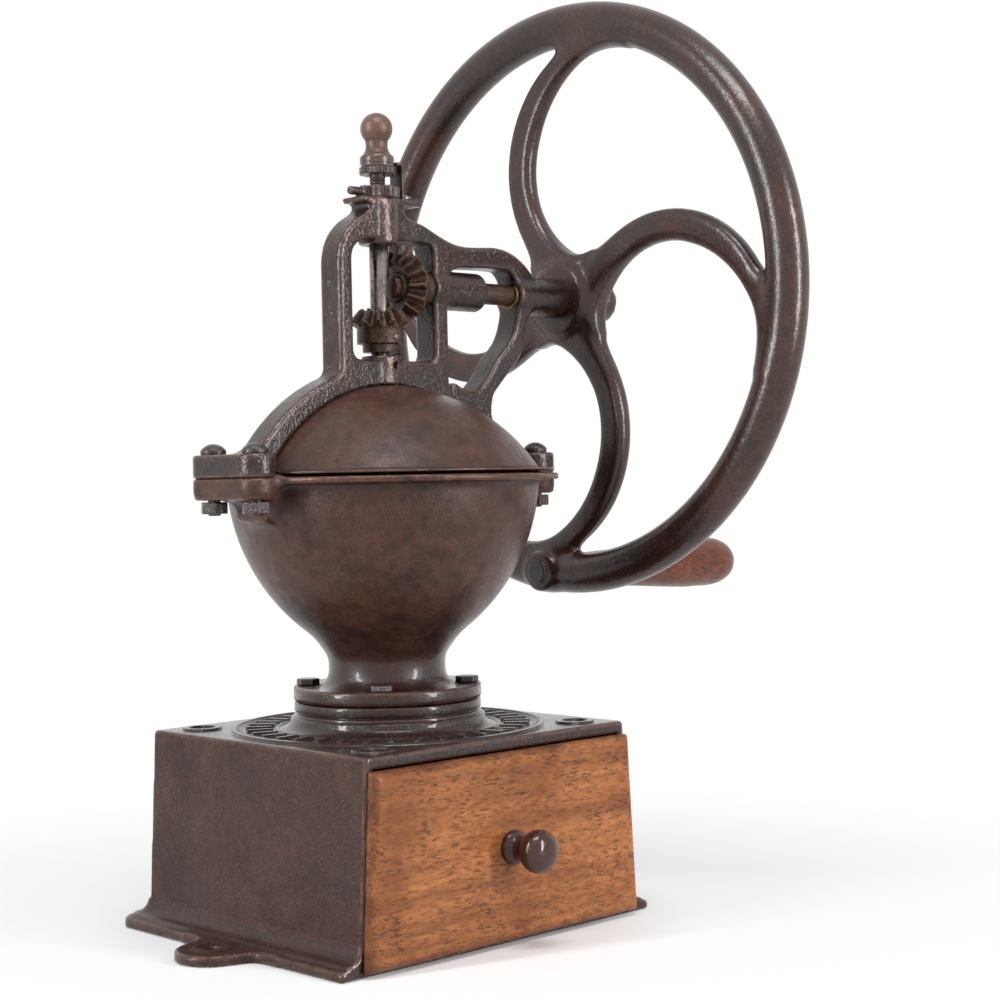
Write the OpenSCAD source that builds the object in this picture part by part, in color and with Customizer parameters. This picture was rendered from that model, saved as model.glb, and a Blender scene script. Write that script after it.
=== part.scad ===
// Counter coffee mill with a hand-turned flywheel.
// Origin: on the spindle axis, at the level of the surface the mill stands on.
// +X points along the drive shaft to the flywheel, -Y is the drawer's front, +Z is up.

/* [Base casing] */
// Width of the top plate
plate_w = 182.6; // [176:0.2:190]
// Depth of the top plate, front to back
plate_d = 176.4; // [170:0.2:184]
// Height of the top plate's upper face
plate_z = 105; // [100:1:112]
// Thickness of the top plate
plate_t = 6.4; // [5:0.2:8]
// How far each side wall leans outwards between the plate and the floor
side_lean = 5.8; // [3:0.2:7]
// Thickness of the side and back walls
wall_t = 5; // [4:0.5:6]
// How far the foot moulding stands out from the side walls
foot_out = 12; // [9:0.5:14]
// Height of the foot moulding
foot_h = 14.4; // [12:0.2:17]
// Height of the moulding's flat lower step
step_h = 5; // [4:0.5:6]
// Distance of each screw ear's hole from the middle
ear_x = 119; // [115:1:121]
// Radius of a screw ear
ear_r = 19; // [17:0.5:21]
// Radius of the screw hole in an ear
ear_hole_r = 3.2; // [2.5:0.1:4]

/* [Collar and burrs] */
// Height of the flared foot of the collar, cast on the plate
flare_h = 5.6; // [4:0.2:8]
// Radius of the collar
collar_r = 50; // [49:0.5:52]
// Height of the collar ring
collar_h = 9.7; // [8:0.1:12]
// Outside radius of the tube that holds the burr ring
tube_r = 37.5; // [37:0.1:38.5]
// Depth of that tube below the top plate's upper face
tube_drop = 17; // [15:0.5:20]
// Outside radius of the burr ring
burr_ring_r = 33; // [32.5:0.1:34]
// Inside radius of the burr ring at its lower edge
burr_mouth_r = 28.5; // [27.5:0.1:29]
// Height of the burr ring
burr_h = 25; // [22:0.5:27]
// Gap between cone and ring at the lower edge
burr_gap = 0.6; // [0.4:0.1:1]

/* [Hopper] */
// Thickness of the hopper's bolted flange
flange_t = 7.6; // [6:0.2:9]
// Height from the flange's underside to the rim
hopper_h = 119.7; // [116:0.5:124]
// Radius of the neck
neck_r = 31.5; // [31:0.1:33]
// Wall thickness of the bowl
bowl_wall = 4; // [3:0.5:5]
// Outside radius of the bowl at its mouth
mouth_r = 84.2; // [82:0.2:86]
// How far the rim flange stands out from the bowl's mouth
rim_out = 10.4; // [9:0.2:12]
// Thickness of the rim flange
rim_t = 3.4; // [2.6:0.2:4.4]
// Radius of the circle of flange bolts
flange_bolt_pcr = 43; // [42:0.2:43.6]
// Radius of the flange bolts
flange_bolt_r = 3; // [2.5:0.1:3.4]

/* [Lid] */
// Height of the dome's crown above the rim
dome_rise = 49; // [46:0.5:50]
// Thickness of the lid's sheet
lid_t = 1.2; // [0.8:0.1:1.4]
// How far the lid's out-turned flange stays inside the rim's edge
lid_inset = 1.6; // [1:0.2:3]
// Width of the lid's out-turned flange, from the dome's foot to its edge
lid_flange_w = 7; // [5:0.2:8]

/* [Bridge] */
// Thickness of the bridge casting, front to back
bridge_t = 17; // [15:0.5:18]
// Gap between the lid's crown and the underside of the arch
arch_gap = 1.2; // [0.8:0.1:1.6]
// Depth of the arch
arch_t = 9; // [7.5:0.5:10]
// Height of the drive shaft above the rim
shaft_rise = 102.6; // [101:0.2:105]
// Height of the bridge's head above the drive shaft
head_h = 46.8; // [46:0.2:49]
// How far the lug bolts stand out beyond the rim's edge
lug_out = 4.9; // [4:0.1:7]
// Distance of each lug bolt in front of and behind the shaft's plane
lug_y = 17.5; // [15:0.5:19]
// Radius of the rounded lug ends
lug_r = 10.5; // [9.5:0.5:11.5]
// Thickness of the bridge's lugs and of the hopper's lugs
lug_t = 12; // [10:0.5:14]
// Radius of the lug bolts
lug_bolt_r = 3.2; // [2.8:0.1:3.6]

/* [Drive] */
// Radius of the drive shaft
shaft_r = 6; // [5.5:0.1:6.4]
// Radius of the spindle
spindle_r = 5.2; // [4.8:0.1:5.6]
// Running clearance of shafts in their bushes, on the radius
running = 0.05; // [0.02:0.01:0.08]
// Module of the bevel gears
gear_module = 2.6; // [2.5:0.05:2.65]
// Teeth on the drive shaft's gear
gear_teeth = 16; // [16]
// Teeth on the spindle's pinion
pinion_teeth = 12; // [12]
// Length of the bevel teeth along the cone
tooth_len = 9.6; // [8:0.2:10]

/* [Flywheel] */
// Distance of the flywheel's middle plane from the spindle
wheel_x = 147.5; // [145:0.5:155]
// Radius of the rim's centre line
rim_cr = 162; // [155:1:170]
// Radius of the rim's round section
rim_sec_r = 11.6; // [10:0.2:13]
// Radius of the spokes' curve
spoke_curve_r = 66; // [64:0.5:68]
// Width of a spoke in the wheel's plane
spoke_w = 18; // [15:0.5:20]
// Thickness of a spoke
spoke_t = 11; // [9:0.5:13]
// Radius of the hub's front face
hub_r = 20; // [18:0.5:22]
// Length of the wooden grip
grip_len = 148; // [130:1:155]
// Largest radius of the wooden grip
grip_r = 15.5; // [14:0.5:17]

/* [Adjuster] */
// Radius of the adjusting screw
screw_r = 4.4; // [4:0.1:4.8]
// Radius of the ball knob
ball_r = 8.7; // [7.5:0.1:10]
// Radius of the notched index ring
index_r = 9.7; // [9:0.1:9.8]
// Notches on the index ring
index_notches = 12; // [8:1:14]

/* [Drawer] */
// How far the drawer's front stands out from the casing
front_out = 6; // [5:0.5:9]
// Radius of the rounded edge around the drawer's front
front_edge_r = 5.5; // [3:0.5:5.5]
// Room left behind the drawer's box
drawer_back_gap = 5.7; // [3:0.1:20]
// Height of the drawer's sides
drawer_side_h = 66; // [50:1:68]
// Thickness of the drawer's sides and back
drawer_side_t = 7; // [5:0.5:9]
// Radius of the drawer's knob
knob_r = 11; // [10:0.5:14]

/* [Hidden] */
$fn = 64;
eps = 0.01;
seat_gap = 0.3;
fit_gap = 0.1;

// heights of the stack, from the plate up
collar_z = plate_z + flare_h;
flange_z = collar_z + collar_h;
rim_z = flange_z + hopper_h;
shaft_z = rim_z + shaft_rise;
head_z = shaft_z + head_h;
rim_r = mouth_r + rim_out;
lid_flange_r = rim_r - lid_inset;
lid_foot_r = lid_flange_r - lid_flange_w;
dome_r = (pow(lid_foot_r, 2) + pow(dome_rise, 2)) / (2 * dome_rise);
dome_cz = rim_z + dome_rise - dome_r;
crown_z = rim_z + dome_rise;

// casing
plate_hw = plate_w / 2;
plate_hd = plate_d / 2;
floor_hw = plate_hw + side_lean;
under_z = plate_z - plate_t;
edge_r = 1.6;
back_out = foot_out + 3.8;
step_in = 3.6;
foot_corner_r = 4;
ear_t = step_h + 0.6;
ear_blend_r = 9;
ear_ring_r = 10;
sill_h = 1.8;
ledge_h = 5;
ledge_w = 12;
ornament_r = min(plate_hw, plate_hd) - 4;
ornament_ribs = 36;
flare_r = collar_r + 6.3;

// burrs and the lower bridge
tube_z = plate_z - tube_drop;
bar_t = 6;
bar_w = 15;
bar_z = tube_z - bar_t;
lower_screw_x = (tube_r + burr_ring_r) / 2;
lower_screw_r = 1.6;
lower_screw_reach = 6;
lower_head_r = 2.2;
lower_head_t = 2;
lower_boss_r = 11;
bar_end_gap = 0.4;
burr_z = tube_z + 4;
burr_slope = 0.16;
cone_slope = 0.5;
cone_bottom_r = burr_mouth_r - burr_gap;
cone_pocket_r = 10;
cone_pocket_h = 13;
spring_r = 8;
spring_wire_r = 0.9;
auger_z = burr_z + burr_h + 1.5;
auger_h = 30;
auger_r = 22;

// hopper: the bowl is one arc, the neck another arc tangent to it
throat_r = neck_r - 4.5;
bowl_cz = rim_z + 1.6;
bowl_r = 107;
bowl_cr = mouth_r - bowl_r;
neck_fillet_r = 12;
neck_foot_r = 5;
neck_cr = neck_r + neck_fillet_r;
neck_dr = neck_cr - bowl_cr;
neck_cz = bowl_cz - sqrt(pow(bowl_r + neck_fillet_r, 2) - pow(neck_dr, 2));
neck_join_a = asin((bowl_cz - neck_cz) / (bowl_r + neck_fillet_r));
flange_r = collar_r + 0.6;
flange_top_z = flange_z + flange_t;

// lid: the rear half lies on the rim, the front half turns just above it
lid_gap = 0.4;
rear_flange_z = rim_z;
front_flange_z = rear_flange_z + lid_t + lid_gap;
lid_lap = 3;
lid_eye_r = 14;
lid_eye_bore_r = spindle_r + 0.9;
rear_dome_r = dome_r - lid_t - lid_gap;

// bridge
lug_x = rim_r + lug_out;
arch_in_r = dome_r + arch_gap;
arch_out_r = arch_in_r + arch_t;
relief_r = lid_flange_r + 4;
relief_h = front_flange_z + lid_t - rim_z + 0.5;
boss_r = 9.5;
lower_boss_top_z = shaft_z - 38;
shaft_boss_r = 10.8;
inner_boss_x0 = 33;
inner_boss_x1 = 71.5;
outer_boss_r = 11.5;
outer_boss_x0 = 98;
hub_gap = 0.5;
hub_in = 10;
hub_out = 30;
hub_x0 = wheel_x - hub_in;
hub_x1 = wheel_x + hub_out;
outer_boss_x1 = hub_x0 - hub_gap;
bush_wall = 2;
table_t = 3;
table_x0 = -17.6;
table_x1 = 25;

// bevel gears: both pitch cones meet where the shaft's axis crosses the spindle's
gear_pr = gear_module * gear_teeth / 2;
pinion_pr = gear_module * pinion_teeth / 2;
gear_cone_a = atan(gear_teeth / pinion_teeth);
cone_len = sqrt(pow(gear_pr, 2) + pow(pinion_pr, 2));
// teeth are thinned for backlash, so meshed flanks never touch
tooth_half_t = 0.205 * PI * gear_module;
tooth_add = 0.85 * gear_module;
tooth_ded = 1.15 * gear_module;
gear_hub_r = 9.5;
gear_back_x = pinion_pr + 5;
gear_hub_x1 = inner_boss_x0 - 0.6;
gear_pin_x = (gear_back_x + gear_hub_x1) / 2 + 1;
shaft_x0 = spindle_r + 2.6;
shaft_end = 3;
shaft_x1 = hub_x1 + shaft_end;
pinion_back_z = shaft_z - gear_pr - 3.6;
pinion_hub_z = pinion_back_z - 7;
pinion_hub_r = 12.8;
pinion_neck_r = 9.8;
pin_r = 1.5;
spindle_travel = 1.5;
pinion_low_z = lower_boss_top_z + spindle_travel + 0.5;

// spindle
spindle_z0 = bar_z + 1;
spindle_z1 = head_z - 12;
ball_bearing_r = 2.5;
screw_z0 = spindle_z1 + 2 * ball_bearing_r;
lock_nut_h = 6.6;
lock_nut_r = 12;
index_z = head_z + 13.2;
index_h = 3.8;
knob_z = index_z + index_h + 0.9;
knob_collar_r = 9.3;
knob_collar_h = 4;
knob_neck_r = 6;
ball_z = knob_z + 20;
screw_z1 = knob_z + 8;
thread_pitch = 1.5;
thread_depth = 0.6;

// index spring, a strip bent like a staple
strip_t = 1.5;
strip_w = 10;
strip_x = 13.4;
strip_top_z = knob_z + 2.6;
strip_foot_x1 = 24.6;
finger_x = max(index_r, knob_collar_r) + seat_gap;
bracket_screw_x = 20.5;

// flywheel and grip
spoke_cy = -30;
spoke_cz = 78;
web_t = 8;
hub_fillet_r = 20;
rim_fillet_r = 8;
horn_shift = 12.5;
hub_back_r = 12;
wheel_pin_in = 8;
wheel_pin_x = hub_x1 - wheel_pin_in;
handle_a = 6;
handle_y = rim_cr * sin(handle_a);
handle_z = shaft_z - rim_cr * cos(handle_a);
handle_boss_r = 11.7;
handle_boss_x0 = wheel_x - rim_sec_r - 0.6;
handle_boss_x1 = wheel_x + rim_sec_r + 1;
grip_x0 = handle_boss_x1 + seat_gap;
grip_x1 = grip_x0 + grip_len;
handle_bolt_r = 4;
bolt_head_t = 2.6;
bolt_head_r = 8;

// drawer
front_y = -plate_hd - seat_gap;
front_z0 = sill_h + seat_gap;
front_z1 = under_z - seat_gap;
front_inset = 0.8;
drawer_hw = plate_hw - wall_t - 3.5;
drawer_z0 = ledge_h + seat_gap;
core_t = 8;
drawer_y0 = front_y + core_t;
drawer_y1 = plate_hd - wall_t - drawer_back_gap;
drawer_len = drawer_y1 - drawer_y0;
bottom_t = 4;
knob_z0 = (front_z0 + front_z1) / 2;
knob_y = front_y - front_out;
knob_len = 26;

iron = [0.24, 0.17, 0.14];
dark_iron = [0.15, 0.12, 0.11];
steel = [0.45, 0.42, 0.40];
bronze = [0.55, 0.40, 0.20];
oak = [0.66, 0.38, 0.17];
walnut = [0.30, 0.13, 0.07];

// points on an arc of radius r about (cx, cy), from angle a0 to a1
function arc(cx, cy, r, a0, a1, n = 8) =
    [for (i = [0:n]) let (a = a0 + (a1 - a0) * i / n) [cx + r * cos(a), cy + r * sin(a)]];

module tube(r_out, r_in, h) {
    difference() {
        cylinder(r = r_out, h = h);
        translate([0, 0, -eps]) cylinder(r = r_in, h = h + 2 * eps);
    }
}

// lays a shape that is built along +Z along +X
module along_x() { rotate([0, 90, 0]) children(); }

module on_shaft() { translate([0, 0, shaft_z]) along_x() children(); }

// copies at the four corners of a rectangle
module corners(x, y) {
    for (sx = [-1, 1], sy = [-1, 1]) translate([sx * x, sy * y, 0]) children();
}

// ---------------------------------------------------------------- base

// outline of a wall with the foot moulding, from the floor up, for one side
function wall_side(top, foot, out) = concat(
    [[foot, 0], [foot, step_h - 0.8], [foot - 0.8, step_h], [foot - step_in, step_h + 0.7]],
    [for (i = [0:8]) let (a = 90 - 90 * i / 8)
        [foot - step_in - (out - step_in) * cos(a), foot_h - (foot_h - step_h - 2) * sin(a)]],
    arc(top - edge_r, plate_z - edge_r, edge_r, 0, 90, 4));

module casing_side_profile() {
    right = wall_side(plate_hw, floor_hw + foot_out, foot_out);
    left = [for (i = [len(right) - 1:-1:0]) [-right[i][0], right[i][1]]];
    polygon(concat(right, left));
}

module casing_depth_profile() {
    back = wall_side(plate_hd, plate_hd + back_out, back_out);
    front = arc(-plate_hd + edge_r, plate_z - edge_r, edge_r, 90, 180, 4);
    polygon(concat(back, front, [[-plate_hd, 0]]));
}

module casing_plan() {
    x = floor_hw + foot_out;
    y0 = -plate_hd;
    y1 = plate_hd + back_out;
    r = foot_corner_r;
    translate([-x, y0 + r]) square([2 * x, y1 - y0 - 2 * r]);
    translate([-x + r, y0]) square([2 * (x - r), y1 - y0]);
    for (sx = [-1, 1], y = [y0 + r, y1 - r]) translate([sx * (x - r), y]) circle(r);
}

module casing_body() {
    intersection() {
        translate([0, plate_hd + back_out + 1, 0]) rotate([90, 0, 0])
            linear_extrude(plate_d + back_out + 2) casing_side_profile();
        translate([-floor_hw - foot_out - 1, 0, 0]) rotate([90, 0, 90])
            linear_extrude(2 * (floor_hw + foot_out + 1)) casing_depth_profile();
        translate([0, 0, -1]) linear_extrude(plate_z + 2) casing_plan();
    }
}

module casing_cavity() {
    top = plate_hw - wall_t;
    low = floor_hw - wall_t;
    translate([0, plate_hd - wall_t, 0]) rotate([90, 0, 0]) linear_extrude(plate_d)
        polygon([[-low, -eps], [low, -eps], [top, under_z], [-top, under_z]]);
}

// raised rings and ribs on the top plate, between the collar and the border
module plate_ornament() {
    translate([0, 0, plate_z - eps]) {
        tube(ornament_r, ornament_r - 2.4, 1.3);
        tube(ornament_r - 4, ornament_r - 5.4, 0.9);
        tube(flare_r + 4.5, flare_r + 3, 0.9);
        for (i = [0:ornament_ribs - 1]) rotate(i * 360 / ornament_ribs)
            translate([flare_r + 6.5, -1.3, 0]) cube([ornament_r - flare_r - 14, 2.6, 1.3]);
        corners(plate_hw - 19.5, plate_hd - 17.5) tube(10.5, 7, 1);
    }
}

// an ear's outline, blended into the straight edge of the foot by two concave fillets
module ear_plan() {
    edge = floor_hw + foot_out;
    c = [edge + ear_blend_r, sqrt(pow(ear_r + ear_blend_r, 2) - pow(ear_x - edge - ear_blend_r, 2))];
    touch = [ear_x, 0] + ear_r / (ear_r + ear_blend_r) * (c - [ear_x, 0]);
    translate([ear_x, 0]) circle(ear_r);
    for (s = [0, 1]) mirror([0, s]) difference() {
        polygon([[edge - 3, 0], [edge - 3, c[1]], [edge, c[1]], c, touch, [ear_x, 0]]);
        translate(c) circle(ear_blend_r);
    }
}

module base_casing() {
    color(iron) difference() {
        union() {
            difference() {
                casing_body();
                casing_cavity();
            }
            for (s = [-1, 1]) {
                rotate(s > 0 ? 0 : 180) linear_extrude(ear_t) ear_plan();
                translate([s * ear_x, 0, 0]) cylinder(r = ear_ring_r, h = ear_t + 1);
                translate([s > 0 ? drawer_hw - ledge_w : -drawer_hw + ledge_w - ledge_w * 2,
                    -plate_hd + 12, sill_h]) cube([ledge_w * 2, plate_d - wall_t - 12, ledge_h - sill_h]);
            }
            translate([-floor_hw, -plate_hd, 0]) cube([2 * floor_hw, 16, sill_h]);
            translate([0, 0, plate_z - eps]) rotate_extrude()
                polygon(concat([[0, 0], [flare_r, 0]],
                    [for (i = [0:6]) let (a = 15 * i) [collar_r + 0.8 + 5.5 * (1 - sin(a)), flare_h * (1 - cos(a))]],
                    [[collar_r + 0.8, flare_h + eps], [0, flare_h + eps]]));
            plate_ornament();
        }
        translate([0, 0, under_z - 1]) cylinder(r = tube_r + fit_gap, h = plate_t + flare_h + 2);
        for (a = [45:90:315]) rotate(a) translate([flange_bolt_pcr, 0, under_z - 1])
            cylinder(r = flange_bolt_r + fit_gap, h = plate_t + flare_h + 2);
        for (s = [-1, 1]) translate([s * ear_x, 0, -1]) {
            cylinder(r = ear_hole_r, h = ear_t + 3);
            translate([0, 0, ear_t]) cylinder(r = ear_ring_r - 3, h = 3);
        }
    }
}

// ---------------------------------------------------------------- burrs

module burr_housing() {
    color(dark_iron) difference() {
        union() {
            translate([0, 0, collar_z]) cylinder(r = collar_r, h = collar_h);
            translate([0, 0, tube_z]) cylinder(r = tube_r, h = collar_z - tube_z + 1);
        }
        translate([0, 0, tube_z - 1]) cylinder(r = burr_ring_r + fit_gap, h = burr_z + burr_h - tube_z + 1);
        translate([0, 0, tube_z]) cylinder(r = throat_r, h = flange_z - tube_z + 1);
        for (a = [45:90:315]) rotate(a) translate([flange_bolt_pcr, 0, collar_z - 1])
            cylinder(r = flange_bolt_r + fit_gap, h = collar_h + 2);
        for (s = [-1, 1]) translate([s * lower_screw_x, 0, tube_z - 1])
            cylinder(r = lower_screw_r + fit_gap, h = lower_screw_reach + 3);
    }
}

module burr_ring() {
    top_r = burr_mouth_r - burr_slope * burr_h;
    color(steel) difference() {
        translate([0, 0, burr_z]) cylinder(r = burr_ring_r, h = burr_h);
        translate([0, 0, burr_z - eps])
            cylinder(r1 = burr_mouth_r, r2 = top_r, h = burr_h + 2 * eps);
        for (i = [0:23]) rotate(i * 15) translate([burr_mouth_r, 0, burr_z - 1])
            rotate([18, -atan(burr_slope), 0]) cylinder(r = 1.1, h = burr_h + 4, $fn = 4);
    }
}

module burr_cone() {
    z = burr_z + 0.5;
    h = burr_h - 2;
    top_r = cone_bottom_r - cone_slope * h;
    color(steel) difference() {
        translate([0, 0, z]) cylinder(r1 = cone_bottom_r, r2 = top_r, h = h);
        translate([0, 0, z - 1]) cylinder(r = spindle_r + 0.02, h = h + 2);
        translate([0, 0, z - 1]) cylinder(r = cone_pocket_r, h = cone_pocket_h + 1);
        for (i = [0:15]) rotate(i * 22.5) translate([cone_bottom_r + 0.6, 0, z - 1])
            rotate([-20, -atan(cone_slope), 0]) cylinder(r = 1.6, h = 2 * h, $fn = 4);
    }
}

module auger() {
    color(steel) difference() {
        translate([0, 0, auger_z]) union() {
            cylinder(r = 9, h = auger_h);
            linear_extrude(auger_h - 2, twist = -300, slices = 18)
                translate([6, -1.4]) square([auger_r - 6, 2.8]);
        }
        translate([0, 0, auger_z - 1]) cylinder(r = spindle_r + 0.02, h = auger_h + 2);
    }
}

module lower_bridge() {
    color(dark_iron) difference() {
        union() {
            translate([-tube_r + bar_end_gap, -bar_w / 2, bar_z]) cube([2 * (tube_r - bar_end_gap), bar_w, bar_t]);
            translate([0, 0, bar_z]) cylinder(r = lower_boss_r, h = bar_t);
        }
        translate([0, 0, bar_z - 1]) cylinder(r = spindle_r + running + bush_wall, h = bar_t + 2);
        for (s = [-1, 1]) translate([s * lower_screw_x, 0, bar_z - 1])
            cylinder(r = lower_screw_r + fit_gap, h = bar_t + 2);
    }
}

module lower_bridge_screws() {
    color(steel) for (s = [-1, 1]) translate([s * lower_screw_x, 0, 0]) {
        translate([0, 0, bar_z - lower_head_t]) cylinder(r = lower_head_r, h = lower_head_t);
        translate([0, 0, bar_z - eps]) cylinder(r = lower_screw_r, h = bar_t + lower_screw_reach);
    }
}

module lower_bush() {
    color(bronze) translate([0, 0, bar_z])
        tube(spindle_r + running + bush_wall - 0.02, spindle_r + running, bar_t);
}

// a wire carried round a helix: rings of points across the wire, joined in turn
module helix_wire(r, wire_r, pitch, turns, steps = 12, sides = 6) {
    n = turns * steps;
    points = [for (i = [0:n], j = [0:sides - 1])
        let (a = 360 * i / steps, b = 360 * j / sides, q = r + wire_r * cos(b))
        [q * cos(a), q * sin(a), pitch * i / steps + wire_r * sin(b)]];
    side_faces = [for (i = [0:n - 1], j = [0:sides - 1])
        let (k = (j + 1) % sides, p = i * sides, q = (i + 1) * sides) [p + j, q + j, q + k, p + k]];
    ends = [[for (j = [0:sides - 1]) j], [for (j = [sides - 1:-1:0]) n * sides + j]];
    polyhedron(points, concat(side_faces, ends), convexity = 10);
}

module lift_spring() {
    turns = 5;
    low = tube_z + 0.15;
    high = burr_z + 0.5 + cone_pocket_h - 0.15;
    color(steel) translate([0, 0, low + spring_wire_r])
        helix_wire(spring_r, spring_wire_r, (high - low - 2 * spring_wire_r) / turns, turns);
}

// ---------------------------------------------------------------- hopper

function bowl_r_at(z, r) = bowl_cr + sqrt(pow(r, 2) - pow(bowl_cz - z, 2));

module hopper_profile() {
    rim_a = -asin((bowl_cz - rim_z + rim_t) / bowl_r);
    inner_r = bowl_r - bowl_wall;
    inner_rim_a = -asin((bowl_cz - rim_z) / inner_r);
    inner_low_a = -acos((throat_r - bowl_cr) / inner_r);
    polygon(concat(
        [[throat_r, flange_z], [flange_r, flange_z], [flange_r, flange_top_z - 1], [flange_r - 1, flange_top_z]],
        arc(neck_r + neck_foot_r, flange_top_z + neck_foot_r, neck_foot_r, 270, 180, 4),
        arc(neck_cr, neck_cz, neck_fillet_r, 180, 180 - neck_join_a, 8),
        arc(bowl_cr, bowl_cz, bowl_r, -neck_join_a, rim_a, 20),
        [[rim_r, rim_z - rim_t], [rim_r, rim_z]],
        arc(bowl_cr, bowl_cz, inner_r, inner_rim_a, inner_low_a, 20)));
}

// half-round ended plate that joins both bolts of one side
module lug_plan(x_in, r) {
    for (s = [-1, 1]) translate([lug_x, s * lug_y]) circle(r);
    translate([lug_x, -lug_y]) square([r, 2 * lug_y]);
    translate([x_in, -lug_y - r]) square([lug_x - x_in, 2 * (lug_y + r)]);
}

module lug_holes(z, h) {
    corners(lug_x, lug_y) translate([0, 0, z - 1]) cylinder(r = lug_bolt_r + fit_gap, h = h + 2);
}

module hopper() {
    lug_in = bowl_r_at(rim_z - lug_t, bowl_r) - bowl_wall;
    color(iron) difference() {
        union() {
            rotate_extrude($fn = 128) hopper_profile();
            for (a = [0, 180]) rotate(a) difference() {
                union() {
                    translate([0, 0, rim_z - lug_t]) linear_extrude(lug_t) lug_plan(lug_in - 14, lug_r);
                    translate([lug_in - 14, -lug_y - 4, rim_z - lug_t - 10]) cube([22, 2 * lug_y + 8, 10 + eps]);
                }
                translate([0, 0, rim_z - lug_t - 20]) rotate_extrude($fn = 128)
                    polygon(concat([[0, 0]], [for (i = [0:8]) let (h = (lug_t + 21) * i / 8)
                        [bowl_r_at(rim_z - lug_t - 20 + min(h, lug_t + 20), bowl_r - bowl_wall + 1), h]],
                        [[0, lug_t + 21]]));
            }
        }
        lug_holes(rim_z - lug_t, lug_t);
        for (a = [45:90:315]) rotate(a) translate([flange_bolt_pcr, 0, flange_z - 1])
            cylinder(r = flange_bolt_r + fit_gap, h = flange_t + 6);
    }
}

module flange_bolts() {
    color(dark_iron) for (a = [45:90:315]) rotate(a) translate([flange_bolt_pcr, 0, 0]) {
        translate([0, 0, flange_top_z]) cylinder(r = 6.3, h = 3.4, $fn = 6);
        translate([0, 0, under_z - 2]) cylinder(r = flange_bolt_r, h = flange_top_z - under_z + 2 + eps);
    }
}

// ---------------------------------------------------------------- lid

// half of a thin dome with an out-turned flange and an eye round the spindle
module half_lid(r, flange_z0) {
    base_a = asin((flange_z0 + lid_t - dome_cz) / r);
    eye_in_a = acos(lid_eye_bore_r / r);
    foot_r = sqrt(pow(r - lid_t, 2) - pow(flange_z0 - dome_cz, 2));
    difference() {
        intersection() {
            rotate_extrude($fn = 128) union() {
                polygon(concat(
                    [for (i = [0:24]) let (a = base_a + (eye_in_a - base_a) * i / 24)
                        [r * cos(a), dome_cz + r * sin(a)]],
                    [for (i = [24:-1:0]) let (a = base_a + (eye_in_a - base_a) * i / 24)
                        [(r - lid_t) * cos(a), dome_cz + (r - lid_t) * sin(a)]]));
                translate([foot_r, flange_z0]) square([lid_flange_r - foot_r, lid_t]);
            }
            union() {
                translate([-lid_flange_r - 1, -lid_flange_r - 1, rim_z - 1])
                    cube([2 * lid_flange_r + 2, lid_flange_r + 1 + lid_lap, dome_rise + 10]);
                translate([0, 0, rim_z]) cylinder(r = lid_eye_r, h = dome_rise + 10);
            }
        }
        translate([0, 0, rim_z]) cylinder(r = lid_eye_bore_r, h = dome_rise + 10);
    }
}

module lid_rear() { color(iron) rotate(180) half_lid(rear_dome_r, rear_flange_z); }

module lid_front() { color(iron) half_lid(dome_r, front_flange_z); }

// ---------------------------------------------------------------- bridge

// The bridge's outlines, about the drive shaft's axis, in hundredths of the shaft's rise above the rim:
// the head's left side, its right side with the bearing arm and the limb, and the two windows.
head_left = [
    [-33.6, -58.5], [-33.6, 12.7], [-29.7, 25.3], [-22.4, 32.7], [-13.2, 37.5]];
head_right = [
    [13.2, 37], [25.3, 33.3], [36.1, 28.8], [45.8, 25.1], [55.6, 23.7], [78, 25], [85.8, 24.4],
    [94.5, 21.4], [102.3, 16.6], [108.2, 9.7], [108.2, -9.7], [102.3, -12.7], [98.4, -32.2],
    [86.7, -44.8], [74.6, -56.5], [73.6, -68.2], [78, -78], [0, -54.6]];
spindle_window = [
    [-24.7, -39.5], [31.8, -39.5], [31.8, 23.9], [-24.7, 21]];
ring_window = [
    [41.9, -52.6], [41.9, -3.9], [69.2, -3.9], [69.2, 12.7], [89.7, 13.2], [95.5, 5.8], [95.5, -13.6],
    [92.6, -21.4], [88.7, -27.3], [80.4, -34.1], [70.7, -46.8], [63.4, -54.6], [48.7, -53.6]];

function on_rise(points) = shaft_rise / 100 * points;

module bridge_outline() {
    top = [[-12, head_h - table_t], [12, head_h - table_t]];
    offset(r = -3) offset(r = 3) offset(r = 2) offset(delta = -2)
        polygon(concat(on_rise(head_left), top, on_rise(head_right)));
}

module bridge_windows() {
    offset(r = 6) offset(delta = -6) polygon(on_rise(spindle_window));
    offset(r = 4) offset(delta = -4) polygon(on_rise(ring_window));
}

module bridge_plan() {
    difference() {
        union() {
            translate([0, shaft_z]) bridge_outline();
            difference() {
                translate([0, dome_cz]) circle(arch_out_r, $fn = 128);
                translate([-arch_out_r - 1, dome_cz - arch_out_r - 1])
                    square([2 * arch_out_r + 2, rim_z + lug_t - 4 - dome_cz + arch_out_r + 1]);
            }
            for (s = [0, 1]) mirror([s, 0]) translate([lug_x - 17, rim_z]) square([17, lug_t]);
        }
        translate([0, shaft_z]) bridge_windows();
        translate([0, dome_cz]) circle(arch_in_r, $fn = 128);
    }
}

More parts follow.
